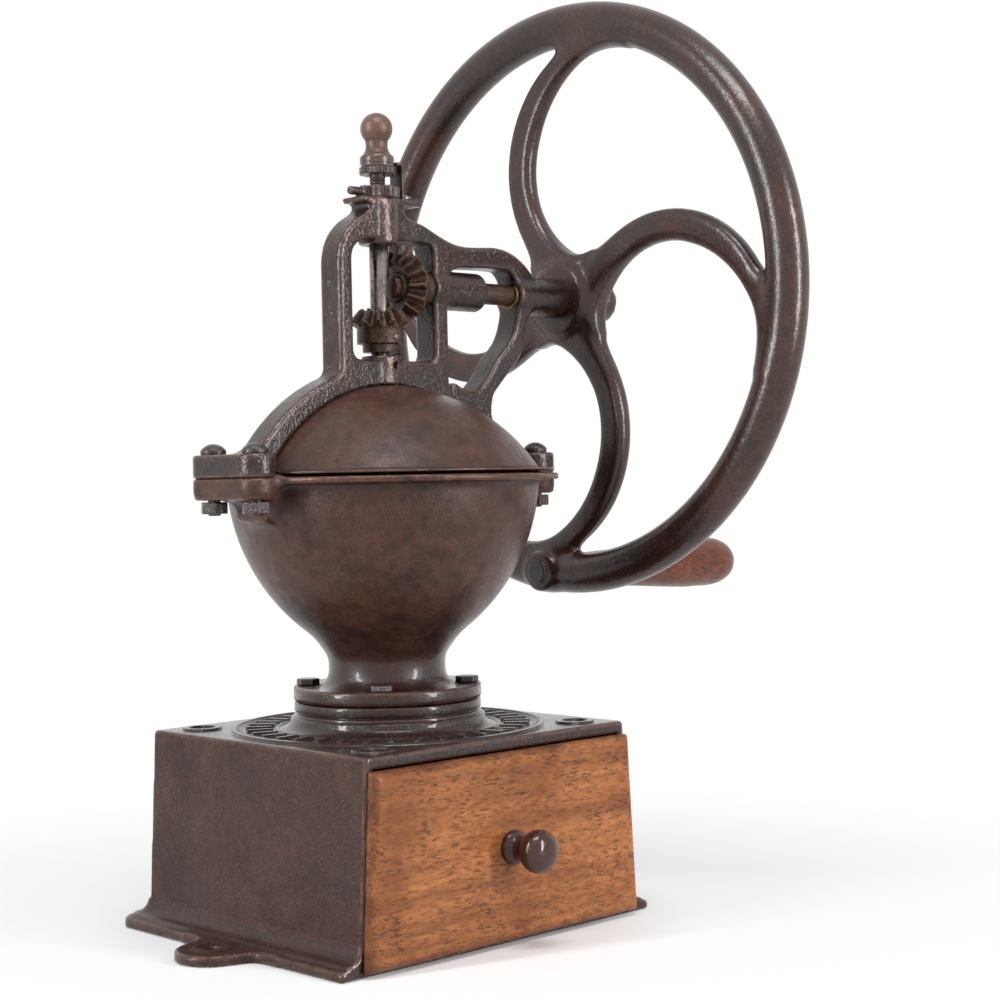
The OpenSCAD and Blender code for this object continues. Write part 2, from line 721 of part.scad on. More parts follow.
module bridge_frame() {
    color(iron) difference() {
        union() {
            translate([0, bridge_t / 2, 0]) rotate([90, 0, 0]) linear_extrude(bridge_t) bridge_plan();
            for (a = [0, 180]) rotate(a) translate([0, 0, rim_z]) linear_extrude(lug_t) lug_plan(lug_x - 4, lug_r);
            translate([table_x0, -bridge_t / 2, head_z - table_t])
                cube([table_x1 - table_x0, bridge_t, table_t]);
            translate([0, 0, shaft_z + 24]) cylinder(r = boss_r, h = head_h - 24);
            intersection() {
                translate([0, 0, crown_z - 4]) cylinder(r = boss_r, h = lower_boss_top_z - crown_z + 4);
                difference() {
                    translate([-boss_r - 1, -boss_r - 1, crown_z - 5]) cube([2 * boss_r + 2, 2 * boss_r + 2, 60]);
                    translate([0, 0, dome_cz]) rotate([90, 0, 0])
                        translate([0, 0, -boss_r - 2]) cylinder(r = arch_in_r, h = 2 * boss_r + 4, $fn = 128);
                }
            }
            translate([inner_boss_x0, 0, 0]) on_shaft() cylinder(r = shaft_boss_r, h = inner_boss_x1 - inner_boss_x0);
            translate([outer_boss_x0, 0, 0]) on_shaft() cylinder(r = outer_boss_r, h = outer_boss_x1 - outer_boss_x0);
        }
        translate([0, 0, rim_z - 1]) cylinder(r = relief_r, h = relief_h + 1);
        lug_holes(rim_z, lug_t);
        translate([0, 0, crown_z - 5]) cylinder(r = spindle_r + running + bush_wall, h = lower_boss_top_z - crown_z + 6);
        translate([0, 0, shaft_z + 20]) cylinder(r = spindle_r + running + bush_wall, h = spindle_z1 - shaft_z - 20);
        translate([0, 0, spindle_z1 - eps]) cylinder(r = screw_r + running, h = head_z - spindle_z1 + 1);
        translate([inner_boss_x0 - 1, 0, 0]) on_shaft()
            cylinder(r = shaft_r + running + bush_wall, h = inner_boss_x1 - inner_boss_x0 + 2);
        translate([outer_boss_x0 - 6, 0, 0]) on_shaft()
            cylinder(r = shaft_r + running + bush_wall, h = outer_boss_x1 - outer_boss_x0 + 7);
        translate([(inner_boss_x0 + inner_boss_x1) / 2 + 2, 0, shaft_z]) cylinder(r = 1.5, h = shaft_boss_r + 1);
        translate([bracket_screw_x, 0, head_z - table_t - 1]) cylinder(r = 1.6, h = table_t + 2);
    }
}

module bridge_bolts() {
    color(dark_iron) corners(lug_x, lug_y) {
        translate([0, 0, rim_z - lug_t - 7]) cylinder(r = lug_bolt_r, h = 2 * lug_t + 7 + eps);
        translate([0, 0, rim_z + lug_t]) rotate_extrude()
            polygon(concat([[0, 0], [6.6, 0], [6.6, 2.4]], arc(0, -2.2, 8, 35, 90, 6)));
    }
}

module bridge_nuts() {
    color(dark_iron) corners(lug_x, lug_y) translate([0, 0, rim_z - lug_t - 6]) difference() {
        cylinder(r = 7.4, h = 6, $fn = 6);
        translate([0, 0, -1]) cylinder(r = lug_bolt_r + fit_gap, h = 8);
    }
}

module spindle_bush() {
    z0 = dome_cz + sqrt(pow(arch_in_r, 2) - pow(bush_wall + spindle_r, 2)) + 0.4;
    color(bronze) translate([0, 0, z0])
        tube(spindle_r + running + bush_wall - 0.02, spindle_r + running, lower_boss_top_z - z0);
}

module top_bush() {
    z0 = shaft_z + 24.5;
    color(bronze) translate([0, 0, z0])
        tube(spindle_r + running + bush_wall - 0.02, spindle_r + running, spindle_z1 - 1 - z0);
}

module shaft_bush_inner() {
    color(bronze) translate([inner_boss_x0, 0, 0]) on_shaft()
        tube(shaft_r + running + bush_wall - 0.02, shaft_r + running, inner_boss_x1 - inner_boss_x0);
}

module shaft_bush_outer() {
    color(bronze) translate([outer_boss_x0 - 1, 0, 0]) on_shaft()
        tube(shaft_r + running + bush_wall - 0.02, shaft_r + running, outer_boss_x1 - outer_boss_x0 + 1);
}

// ---------------------------------------------------------------- spindle and adjuster

module spindle() {
    pin_z = (pinion_hub_z + pinion_back_z) / 2;
    color(steel) difference() {
        translate([0, 0, spindle_z0]) cylinder(r = spindle_r, h = spindle_z1 - spindle_z0);
        translate([0, 0, pin_z]) rotate([90, 0, 0]) cylinder(r = pin_r, h = 4 * pinion_hub_r, center = true);
    }
}

// One straight bevel tooth, tapering to the cone's apex at the origin; the gear's axis is +Z.
// Each end has three levels: root, pitch and tip, with half thickness t at distance l from the apex.
module bevel_tooth(cone_a, half_pitch_t) {
    levels = [[-tooth_ded - 0.3, 1.45], [0, 1], [tooth_add, 0.5]];
    function at(l, level, side) = let (
        f = l / cone_len,
        h = level[0] * f,
        t = half_pitch_t * level[1] * f,
        r = l * sin(cone_a) + h * cos(cone_a),
        a = side * atan(t / r)) [r * cos(a), r * sin(a), l * cos(cone_a) - h * sin(cone_a)];
    function ring(l) = [at(l, levels[0], -1), at(l, levels[1], -1), at(l, levels[2], -1),
        at(l, levels[2], 1), at(l, levels[1], 1), at(l, levels[0], 1)];
    polyhedron(concat(ring(cone_len - tooth_len), ring(cone_len)),
        [[0, 1, 2, 3, 4, 5], [11, 10, 9, 8, 7, 6], [0, 6, 7, 1], [1, 7, 8, 2], [2, 8, 9, 3], [3, 9, 10, 4],
         [4, 10, 11, 5], [5, 11, 6, 0]]);
}

function root_point(cone_a, l) = let (h = -tooth_ded * l / cone_len)
    [l * sin(cone_a) + h * cos(cone_a), l * cos(cone_a) - h * sin(cone_a)];

module bevel_teeth(cone_a, teeth, half_t) {
    for (i = [0:teeth - 1]) rotate(i * 360 / teeth) bevel_tooth(cone_a, half_t);
}

module pinion() {
    a = 90 - gear_cone_a;
    outer = root_point(a, cone_len);
    inner = root_point(a, cone_len - tooth_len);
    back = shaft_z - pinion_back_z;
    neck = shaft_z - pinion_hub_z;
    low = shaft_z - pinion_low_z;
    pin_z = (pinion_hub_z + pinion_back_z) / 2;
    color(bronze) difference() {
        translate([0, 0, shaft_z]) mirror([0, 0, 1]) union() {
            rotate(180 / pinion_teeth) bevel_teeth(a, pinion_teeth, tooth_half_t);
            rotate_extrude() polygon([[0, inner[1] + 0.6], inner, outer, [outer[0] - 1, back], [pinion_hub_r, back],
                [pinion_hub_r, neck], [pinion_neck_r, neck], [pinion_neck_r, low], [0, low]]);
        }
        translate([0, 0, lower_boss_top_z]) cylinder(r = spindle_r + 0.02, h = shaft_z - lower_boss_top_z);
        translate([0, 0, pin_z]) rotate([90, 0, 0]) cylinder(r = pin_r, h = 4 * pinion_hub_r, center = true);
    }
}

module pinion_pin() {
    color(steel) translate([0, 0, (pinion_hub_z + pinion_back_z) / 2]) rotate([90, 0, 0])
        cylinder(r = pin_r - 0.02, h = 2 * pinion_hub_r + 0.6, center = true);
}

module thrust_ball() { color(steel) translate([0, 0, spindle_z1 + ball_bearing_r]) sphere(r = ball_bearing_r - 0.05); }

module adjusting_screw() {
    thread_z0 = head_z + lock_nut_h + 0.4;
    thread_z1 = index_z - 0.4;
    n = floor((thread_z1 - thread_z0) / thread_pitch);
    color(steel) rotate_extrude() polygon(concat([[0, screw_z0], [screw_r, screw_z0]],
        [for (i = [0:n - 1], k = [0, 1]) [screw_r - k * thread_depth, thread_z0 + thread_pitch * (i + k / 2)]],
        [[screw_r, thread_z0 + thread_pitch * n], [screw_r, screw_z1], [0, screw_z1]]));
}

module index_ring() {
    color(steel) translate([0, 0, index_z]) difference() {
        cylinder(r = index_r, h = index_h);
        translate([0, 0, -1]) cylinder(r = screw_r + 0.02, h = index_h + 2);
        for (i = [0:index_notches - 1]) rotate((i + 0.5) * 360 / index_notches)
            translate([index_r + 0.4, 0, -1]) cylinder(r = 1.3, h = index_h + 2, $fn = 12);
    }
}

module adjuster_knob() {
    color([0.35, 0.22, 0.17]) difference() {
        rotate_extrude() polygon(concat(
            [[0, index_z + index_h], [knob_collar_r - 1, index_z + index_h], [knob_collar_r, knob_z],
             [knob_collar_r, knob_z + knob_collar_h - 1.4], [knob_neck_r + 0.6, knob_z + knob_collar_h + 1.6]],
            arc(knob_neck_r + 6, knob_z + knob_collar_h + 5.4, 6, 200, 150, 5),
            arc(0, ball_z, ball_r, -44, 90, 16)));
        translate([0, 0, index_z - 1]) cylinder(r = screw_r + 0.02, h = screw_z1 - index_z + 1.2);
    }
}

module lock_nut() {
    color(dark_iron) translate([0, 0, head_z]) difference() {
        union() {
            cylinder(r = 8.6, h = lock_nut_h);
            for (i = [0:7]) rotate(i * 45) translate([lock_nut_r - 3, 0, 0]) cylinder(r = 3, h = lock_nut_h);
            translate([-lock_nut_r - 8, 0, lock_nut_h / 2]) along_x() cylinder(r = 2.2, h = 11);
        }
        translate([0, 0, -1]) cylinder(r = screw_r + running, h = lock_nut_h + 2);
    }
}

module index_spring() {
    color(dark_iron) difference() {
        translate([0, -strip_w / 2, 0]) union() {
            translate([strip_x, 0, head_z]) cube([strip_foot_x1 - strip_x, strip_w, strip_t]);
            translate([strip_x, 0, head_z]) cube([strip_t, strip_w, strip_top_z - head_z]);
            translate([finger_x, 0, strip_top_z - strip_t]) cube([strip_x - finger_x + eps, strip_w, strip_t]);
            translate([finger_x, strip_w / 2 - 2, index_z]) cube([strip_t, 4, strip_top_z - index_z]);
        }
        translate([bracket_screw_x, 0, head_z - 1]) cylinder(r = 1.6, h = strip_t + 2);
    }
}

module index_spring_screw() {
    color(steel) translate([bracket_screw_x, 0, 0]) {
        translate([0, 0, head_z + strip_t]) rotate_extrude()
            polygon(concat([[0, 0]], arc(0, -1.2, 3.6, 20, 90, 6)));
        translate([0, 0, head_z - table_t]) cylinder(r = 1.5, h = table_t + strip_t + eps);
    }
}

// ---------------------------------------------------------------- drive shaft and flywheel

module drive_shaft() {
    color(steel) difference() {
        translate([shaft_x0, 0, 0]) on_shaft() cylinder(r = shaft_r, h = shaft_x1 - shaft_x0);
        translate([gear_pin_x, 0, shaft_z]) cylinder(r = pin_r, h = 4 * gear_hub_r, center = true);
        translate([wheel_pin_x, 0, shaft_z]) rotate([90, 0, 0]) cylinder(r = pin_r, h = 4 * hub_back_r, center = true);
    }
}

module bevel_gear() {
    outer = root_point(gear_cone_a, cone_len);
    inner = root_point(gear_cone_a, cone_len - tooth_len);
    color(bronze) difference() {
        on_shaft() union() {
            bevel_teeth(gear_cone_a, gear_teeth, tooth_half_t);
            rotate_extrude() polygon([[0, shaft_x0 + 3], [gear_hub_r - 2, shaft_x0 + 3], [gear_hub_r - 1, inner[1] + 1],
                inner, outer, [outer[0] - 1.5, gear_back_x], [gear_hub_r, gear_back_x], [gear_hub_r, gear_hub_x1],
                [0, gear_hub_x1]]);
        }
        on_shaft() cylinder(r = shaft_r + 0.02, h = 2 * gear_hub_x1);
        translate([gear_pin_x, 0, shaft_z]) cylinder(r = pin_r, h = 4 * gear_hub_r, center = true);
    }
}

module gear_pin() {
    color(steel) translate([gear_pin_x, 0, shaft_z])
        cylinder(r = pin_r - 0.02, h = 2 * gear_hub_r + 0.6, center = true);
}

// centre of a circle at distance dp from point p and distance dq from point q, on q's right as seen from p
function tangent_centre(p, dp, q, dq) = let (
    d = norm(q - p), u = (q - p) / d, along = (pow(dp, 2) - pow(dq, 2) + pow(d, 2)) / (2 * d),
    aside = sqrt(pow(dp, 2) - pow(along, 2))) p + along * u + aside * [u[1], -u[0]];

// fills the corner between two curves with a concave fillet of radius r about c
module corner_fillet(c, r, touch_a, deep_a, deep_b, touch_b) {
    difference() {
        polygon([deep_a, touch_a, c, touch_b, deep_b]);
        translate(c) circle(r);
    }
}

// plan of the web: the fillets between neighbouring spokes at the hub, and where each spoke meets the rim
module wheel_web() {
    here = [spoke_cy, spoke_cz];
    next = [spoke_cz, -spoke_cy];
    out_r = spoke_curve_r + spoke_w / 2;
    in_r = spoke_curve_r - spoke_w / 2;
    rim_in_r = rim_cr - rim_sec_r + 1;
    hub_c = tangent_centre(here, out_r + hub_fillet_r, next, in_r - hub_fillet_r);
    rim_c = tangent_centre([0, 0], rim_in_r - rim_fillet_r, here, out_r + rim_fillet_r);
    function toward(p, c, r) = p + r * (c - p) / norm(c - p);
    for (i = [0:3]) rotate(i * 90) {
        corner_fillet(hub_c, hub_fillet_r, toward(here, hub_c, out_r), toward(here, hub_c, out_r - 6),
            toward(next, hub_c, in_r + 6), toward(next, hub_c, in_r));
        polygon([[0, 0], toward(here, hub_c, out_r - 6), toward(here, hub_c, out_r), toward(next, hub_c, in_r),
            toward(next, hub_c, in_r + 6)]);
        corner_fillet(rim_c, rim_fillet_r, toward(here, rim_c, out_r), toward(here, rim_c, out_r - 5),
            toward([0, 0], rim_c, rim_in_r + 5), toward([0, 0], rim_c, rim_in_r));
    }
}

// one spoke: an arc from the hub to the rim, hollowed on its inner side where it runs into the rim
module spoke() {
    difference() {
        translate([spoke_cy, spoke_cz, 0]) rotate(-72) rotate_extrude(angle = 172, $fn = 96) {
            translate([spoke_curve_r - spoke_w / 2 + spoke_t / 2, 0]) circle(spoke_t / 2, $fn = 32);
            translate([spoke_curve_r + spoke_w / 2 - spoke_t / 2, 0]) circle(spoke_t / 2, $fn = 32);
            translate([spoke_curve_r, 0]) square([spoke_w - spoke_t, spoke_t], center = true);
        }
        intersection() {
            translate([spoke_cy - horn_shift, spoke_cz - 1.4, -spoke_t])
                cylinder(r = spoke_curve_r - spoke_w / 2 + horn_shift - 0.2, h = 2 * spoke_t, $fn = 96);
            translate([spoke_cy - spoke_curve_r, spoke_cz + 2, -spoke_t])
                cube([2 * spoke_curve_r, 2 * spoke_curve_r, 2 * spoke_t]);
        }
    }
}

module flywheel() {
    color(iron) difference() {
        union() {
            translate([wheel_x, 0, 0]) on_shaft() rotate_extrude($fn = 128) translate([rim_cr, 0]) circle(rim_sec_r);
            translate([wheel_x - web_t / 2, 0, 0]) on_shaft() rotate(90) linear_extrude(web_t) wheel_web();
            for (i = [0:3]) translate([wheel_x, 0, 0]) on_shaft() rotate(90 + 90 * i)
                spoke();
            on_shaft() rotate_extrude() polygon([[0, hub_x0], [hub_r - 1.5, hub_x0], [hub_r, hub_x0 + 2],
                [hub_r + 4, wheel_x - spoke_t / 2], [hub_r + 4, wheel_x + spoke_t / 2 - 1],
                [hub_back_r + 2, wheel_x + spoke_t / 2 + 5], [hub_back_r, wheel_x + spoke_t / 2 + 9],
                [hub_back_r, hub_x1 - 1], [hub_back_r - 1, hub_x1], [0, hub_x1]]);
            translate([handle_boss_x0, handle_y, handle_z]) along_x()
                cylinder(r = handle_boss_r, h = handle_boss_x1 - handle_boss_x0);
        }
        on_shaft() cylinder(r = shaft_r + 0.02, h = 2 * wheel_x);
        translate([handle_boss_x0 - 1, handle_y, handle_z]) along_x()
            cylinder(r = handle_bolt_r + 0.02, h = handle_boss_x1 - handle_boss_x0 + 2);
        translate([wheel_pin_x, 0, shaft_z]) rotate([90, 0, 0]) cylinder(r = pin_r, h = 4 * hub_back_r, center = true);
    }
}

module flywheel_pin() {
    color(steel) translate([wheel_pin_x, 0, shaft_z]) rotate([90, 0, 0])
        cylinder(r = pin_r - 0.02, h = 2 * hub_back_r + 1, center = true);
}

module handle_bolt() {
    color(dark_iron) translate([0, handle_y, handle_z]) {
        translate([handle_boss_x0 - bolt_head_t, 0, 0]) along_x() cylinder(r1 = bolt_head_r - 1, r2 = bolt_head_r, h = bolt_head_t);
        translate([handle_boss_x0 - eps, 0, 0]) along_x() cylinder(r = handle_bolt_r, h = grip_x1 - handle_boss_x0 - 1);
    }
}

// a turned grip: slim at the wheel, fullest near its rounded outer end
module grip_profile() {
    n = 28;
    polygon(concat([[0, 0]], [for (i = [0:n]) let (
        u = i / n,
        body = 0.66 + 0.34 * sin(90 * min(1, u / 0.72)) * min(1, u / 0.72),
        nose = sqrt(max(0, 1 - pow(max(0, (u - 0.86) / 0.14), 2))),
        root = 1 - 0.18 * pow(max(0, 1 - u / 0.05), 2))
        [max(6, grip_r * body * root * (0.42 + 0.58 * nose)), grip_len * u]], [[0, grip_len]]));
}

module handle_grip() {
    color(walnut) difference() {
        translate([grip_x0, handle_y, handle_z]) along_x() rotate_extrude() grip_profile();
        translate([grip_x0 - 1, handle_y, handle_z]) along_x() cylinder(r = handle_bolt_r + 0.06, h = grip_len + 2);
        translate([grip_x1 - 2.5, handle_y, handle_z]) along_x() cylinder(r = 5.4, h = 4);
    }
}

module grip_washer() {
    color(dark_iron) translate([grip_x1 - 2.2, handle_y, handle_z]) along_x()
        tube(5.1, handle_bolt_r + 0.02, 1.2);
}

// ---------------------------------------------------------------- drawer

// the front's outline in X and Z: its sides follow the casing's lean
module front_plan(inset) {
    function side(z) = plate_hw + side_lean * (plate_z - z) / plate_z - front_inset - inset;
    z0 = front_z0 + inset * 0.4;
    z1 = front_z1 - inset;
    polygon([[-side(z0), z0], [side(z0), z0], [side(z1), z1], [-side(z1), z1]]);
}

module drawer_front() {
    color(oak) difference() {
        union() {
            hull() for (i = [0:6]) let (a = 15 * i)
                translate([0, front_y - front_out + front_edge_r - front_edge_r * sin(90 - a) + eps, 0])
                    rotate([90, 0, 0]) linear_extrude(eps) front_plan(front_edge_r * (1 - sin(a)));
            translate([0, front_y, 0]) rotate([90, 0, 0]) linear_extrude(front_out - front_edge_r + eps) front_plan(0);
            translate([-drawer_hw, front_y - eps, drawer_z0]) cube([2 * drawer_hw, core_t + eps, drawer_side_h + 16]);
        }
        translate([0, 0, knob_z0]) rotate([90, 0, 0]) translate([0, 0, -drawer_y0 - 1])
            cylinder(r = 2.3, h = core_t + front_out + 2);
    }
}

module drawer_side(s) {
    color(oak) translate([s * drawer_hw - (s > 0 ? drawer_side_t : 0), drawer_y0, drawer_z0])
        cube([drawer_side_t, drawer_len, drawer_side_h]);
}

module drawer_side_left() { drawer_side(-1); }

module drawer_side_right() { drawer_side(1); }

module drawer_back() {
    color(oak) translate([-drawer_hw + drawer_side_t, drawer_y1 - drawer_side_t, drawer_z0])
        cube([2 * (drawer_hw - drawer_side_t), drawer_side_t, drawer_side_h]);
}

module drawer_bottom() {
    color(oak) translate([-drawer_hw + drawer_side_t, drawer_y0, drawer_z0])
        cube([2 * (drawer_hw - drawer_side_t), drawer_len - drawer_side_t, bottom_t]);
}

module drawer_knob() {
    color(walnut) difference() {
        translate([0, knob_y, knob_z0]) rotate([90, 0, 0]) rotate_extrude()
            polygon(concat([[0, 0], [8.8, 0], [8.8, 2.2], [7.4, 3.2], [6, 5], [5.6, 9], [6.4, 12]],
                [for (i = [0:12]) let (a = -60 + 150 * i / 12) [knob_r * cos(a), knob_len - 8.6 + 8.6 * sin(a)]]));
        translate([0, knob_y + 1, knob_z0]) rotate([90, 0, 0]) cylinder(r = 2.2, h = 17);
    }
}

module drawer_knob_screw() {
    color(steel) translate([0, 0, knob_z0]) rotate([90, 0, 0]) {
        translate([0, 0, -drawer_y0 - 1.8]) cylinder(r = 4.2, h = 1.8);
        translate([0, 0, -drawer_y0 - eps]) cylinder(r = 2.1, h = drawer_y0 - knob_y + 15);
    }
}

base_casing();
burr_housing();
burr_ring();
burr_cone();
auger();
lower_bridge();
lower_bridge_screws();
lower_bush();
lift_spring();
hopper();
flange_bolts();
lid_rear();
lid_front();
bridge_frame();
bridge_bolts();
bridge_nuts();
spindle_bush();
top_bush();
shaft_bush_inner();
shaft_bush_outer();
spindle();
pinion();
pinion_pin();
thrust_ball();
adjusting_screw();
index_ring();
adjuster_knob();
lock_nut();
index_spring();
index_spring_screw();
drive_shaft();
bevel_gear();
gear_pin();
flywheel();
flywheel_pin();
handle_bolt();
handle_grip();
grip_washer();
drawer_front();
drawer_side_left();
drawer_side_right();
drawer_back();
drawer_bottom();
drawer_knob();
drawer_knob_screw();
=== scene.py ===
# %% [markdown]
# # A counter coffee mill
#
# A cast-iron mill with a bowl hopper, a domed lid, an arched bridge and a spoked flywheel.
# Its solids come from the imported CAD model, which is the fixed frame: every new surface made here
# sits where the solid that it stands for sits, and moves with the same body.

# %% The frame: the imported CAD model
import math

import bmesh
import bpy
import numpy as np
from mathutils import Matrix, Vector


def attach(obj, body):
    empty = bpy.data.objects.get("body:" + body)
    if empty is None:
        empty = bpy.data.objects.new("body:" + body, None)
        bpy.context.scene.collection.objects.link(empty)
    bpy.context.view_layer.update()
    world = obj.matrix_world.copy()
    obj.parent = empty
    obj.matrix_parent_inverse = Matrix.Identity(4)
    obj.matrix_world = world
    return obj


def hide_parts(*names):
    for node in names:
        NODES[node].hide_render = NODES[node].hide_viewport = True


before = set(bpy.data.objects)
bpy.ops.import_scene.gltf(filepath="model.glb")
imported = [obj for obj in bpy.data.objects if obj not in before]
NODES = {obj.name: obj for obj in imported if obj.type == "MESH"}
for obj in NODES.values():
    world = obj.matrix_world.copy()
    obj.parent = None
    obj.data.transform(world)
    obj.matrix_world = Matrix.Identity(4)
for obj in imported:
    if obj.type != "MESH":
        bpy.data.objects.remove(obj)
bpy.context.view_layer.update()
MM = 0.001

# %% [markdown]
# ## The camera
#
# The mill is seen from its front left corner, a little above the foot, with a long lens.
# The camera could be aimed at a point with a constraint; three angles and a place say the same
# with fewer parts, and they keep the slight roll of a hand-set tripod.

# %% Camera
CAMERA_AT = Vector((-0.69778, -0.80446, 0.23497))
YAW, PITCH, ROLL = (math.radians(a) for a in (44.32, -0.496, -1.135))
FOCAL = 70.758

def camera_axes(yaw, pitch, roll):
    """Right, up and view directions: yaw turns from +Y towards +X, pitch lifts, roll tips about the view."""
    view = Vector((math.sin(yaw) * math.cos(pitch), math.cos(yaw) * math.cos(pitch), math.sin(pitch)))
    level = Vector((math.cos(yaw), -math.sin(yaw), 0))
    above = level.cross(view)
    right = math.cos(roll) * level + math.sin(roll) * above
    return right, -math.sin(roll) * level + math.cos(roll) * above, view

right, up, view = camera_axes(YAW, PITCH, ROLL)
camera = bpy.data.objects.new("camera", bpy.data.cameras.new("camera"))
camera.data.lens, camera.data.sensor_width = FOCAL, 36
camera.data.clip_start, camera.data.clip_end = 0.05, 50
camera.matrix_world = Matrix((
    (right.x, up.x, -view.x, CAMERA_AT.x), (right.y, up.y, -view.y, CAMERA_AT.y),
    (right.z, up.z, -view.z, CAMERA_AT.z), (0, 0, 0, 1)))
bpy.context.scene.collection.objects.link(camera)
bpy.context.scene.camera = camera
print("camera at", tuple(round(v, 3) for v in CAMERA_AT))

# %% [markdown]
# ## Mesh helpers
#
# Three kinds of surface make up most new pieces. Turned parts are profiles carried round an axis.
# Castings are blends of simple solids: each solid is a distance field, a smooth minimum joins two
# of them with a fillet, and the surface is where the field is zero. Boolean and bevel modifiers
# could join them too, but they leave hard creases where a casting has a poured, rounded corner.
# Small parts are copies of their CAD solids: their sharp edges are broken, or, if they are cast,
# the copy is rebuilt on a fine grid and eased.
#
# Each piece also stores how convex its surface is at every point, in an attribute named wear.
# Edges stand out there and corners sink in, so the finishes know where hands rub and where corners get painted
# shade and grime.

# %% Mesh objects from arrays
def store(mesh, values, name="wear"):
    """Keeps one number a point; wear is positive on edges and bosses and negative in corners."""
    mesh.attributes.new(name, "FLOAT", "POINT").data.foreach_set("value", np.asarray(values, np.float32))

def read(items, key, width=3, kind=float):
    """One stored value of all the points or edges of a mesh, as an (n, width) array."""
    out = np.zeros(len(items) * width, kind)
    items.foreach_get(key, out)
    return out.reshape(-1, width)

def points_of(mesh):
    """The mesh's points in mm, as an (n, 3) array."""
    return read(mesh.vertices, "co") / MM

def neighbours(mesh):
    """The two ends of every edge, the number of points, and how many edges meet at each."""
    a, b = read(mesh.edges, "vertices", 2, np.int32).T
    n = len(mesh.vertices)
    return a, b, n, np.bincount(a, minlength=n) + np.bincount(b, minlength=n)

def mesh_wear(mesh):
    """How far each point stands above its neighbours: the mean slope of its edges against its own normal."""
    a, b, n, count = neighbours(mesh)
    co, normal = read(mesh.vertices, "co"), read(mesh.vertices, "normal")
    away = co[a] - co[b]
    away /= np.maximum(np.linalg.norm(away, axis=1, keepdims=True), 1e-9)
    total = np.bincount(a, (away * normal[a]).sum(1), n) - np.bincount(b, (away * normal[b]).sum(1), n)
    return total / np.maximum(count, 1)

def surface(name, points, faces):
    """A smooth mesh object from an (n, 3) array in metres and an (m, 3 or 4) array of corner numbers."""
    mesh = bpy.data.meshes.new(name)
    faces = np.asarray(faces, np.int32)
    corners = faces.shape[1]
    mesh.vertices.add(len(points))
    mesh.vertices.foreach_set("co", np.asarray(points, np.float32).ravel())
    mesh.loops.add(faces.size)
    mesh.loops.foreach_set("vertex_index", faces.ravel())
    mesh.polygons.add(len(faces))
    mesh.polygons.foreach_set("loop_start", np.arange(0, faces.size, corners, dtype=np.int32))
    mesh.update(calc_edges=True)
    mesh.validate()
    mesh.shade_smooth()
    obj = bpy.data.objects.new(name, mesh)
    bpy.context.scene.collection.objects.link(obj)
    return obj

def grid_faces(rows, columns, wrap_rows=False, wrap_columns=False):
    """Quads between neighbours of a rows x columns grid, closed round either way when asked."""
    i = np.arange(rows if wrap_rows else rows - 1)
    j = np.arange(columns if wrap_columns else columns - 1)
    i, j = (a.ravel() for a in np.meshgrid(i, j, indexing="ij"))
    i2, j2 = (i + 1) % rows, (j + 1) % columns
    return np.stack([i * columns + j, i * columns + j2, i2 * columns + j2, i2 * columns + j], 1)

MERGE = 1e-6  # points closer than this, in metres, are one point

def tidy(obj):
    """Merges doubled points, as on an axis or a seam, turns every face outwards and stores the wear."""
    bm = bmesh.new()
    bm.from_mesh(obj.data)
    bmesh.ops.remove_doubles(bm, verts=bm.verts, dist=MERGE)
    bmesh.ops.dissolve_degenerate(bm, dist=MERGE, edges=bm.edges)
    bmesh.ops.recalc_face_normals(bm, faces=bm.faces)
    bm.to_mesh(obj.data)
    bm.free()
    obj.data.shade_smooth()
    store(obj.data, mesh_wear(obj.data))
    print(obj.name, "faces", len(obj.data.polygons))

def stands_for(obj, body, slot, finish, *nodes):
    """The piece moves with a body, takes a finish and is shown in place of its CAD nodes."""
    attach(obj, body)
    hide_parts(*nodes)
    obj.data.materials.append(finish)

# %% Turned parts
def rounded(profile, radius, steps=4):
    """A profile of (r, z) points with each inner corner b cut back along both sides and bridged by a quadratic
    curve: (1 - t)^2 start + 2 t (1 - t) b + t^2 end."""
    p = np.asarray(profile, float)
    out = [p[0]]
    for a, b, c in zip(p[:-2], p[1:-1], p[2:]):
        la, lc = np.linalg.norm(a - b), np.linalg.norm(c - b)
        start = b + (a - b) / la * min(radius, la * 0.45)
        end = b + (c - b) / lc * min(radius, lc * 0.45)
        t = np.linspace(0, 1, steps)[:, None]
        out.extend((1 - t) ** 2 * start + 2 * t * (1 - t) * b + t ** 2 * end)
    out.append(p[-1])
    return np.array(out)

def turned(name, profile, around, place=None):
    """A profile (r, z in mm) carried round the axis in `around` steps: x = r cos a, y = r sin a. `place` moves
    the points, in mm, to where the part belongs."""
    p = np.asarray(profile, float)
    a = np.linspace(0, 2 * np.pi, around, endpoint=False)[:, None]
    z = np.broadcast_to(p[:, 1], (around, len(p)))
    points = np.stack([p[:, 0] * np.cos(a), p[:, 0] * np.sin(a), z], -1).reshape(-1, 3)
    obj = surface(name, (place(points) if place else points) * MM, grid_faces(around, len(p), wrap_rows=True))
    tidy(obj)
    return obj

# %% Castings as distance fields
def smooth_min(a, b, k):
    """Joins two fields with a fillet about k wide: the smaller one, less k / 4 where they are equal."""
    h = np.maximum(k - np.abs(a - b), 0) / k
    return np.minimum(a, b) - h * h * k / 4

def smooth_max(a, b, k):
    """Cuts with a rounded edge: minus the smooth minimum of the negated fields."""
    return -smooth_min(-a, -b, k)

def corner(a, b, edge):
    """What lies inside both fields, with a true round of radius `edge` where they meet."""
    a, b = a + edge, b + edge
    return np.minimum(np.maximum(a, b), 0) + np.hypot(np.maximum(a, 0), np.maximum(b, 0)) - edge

def slab(flat, across, half, edge):
    """Gives a flat outline field a thickness: its long edges are rounded with radius `edge`."""
    return corner(flat, np.abs(across) - half, edge)

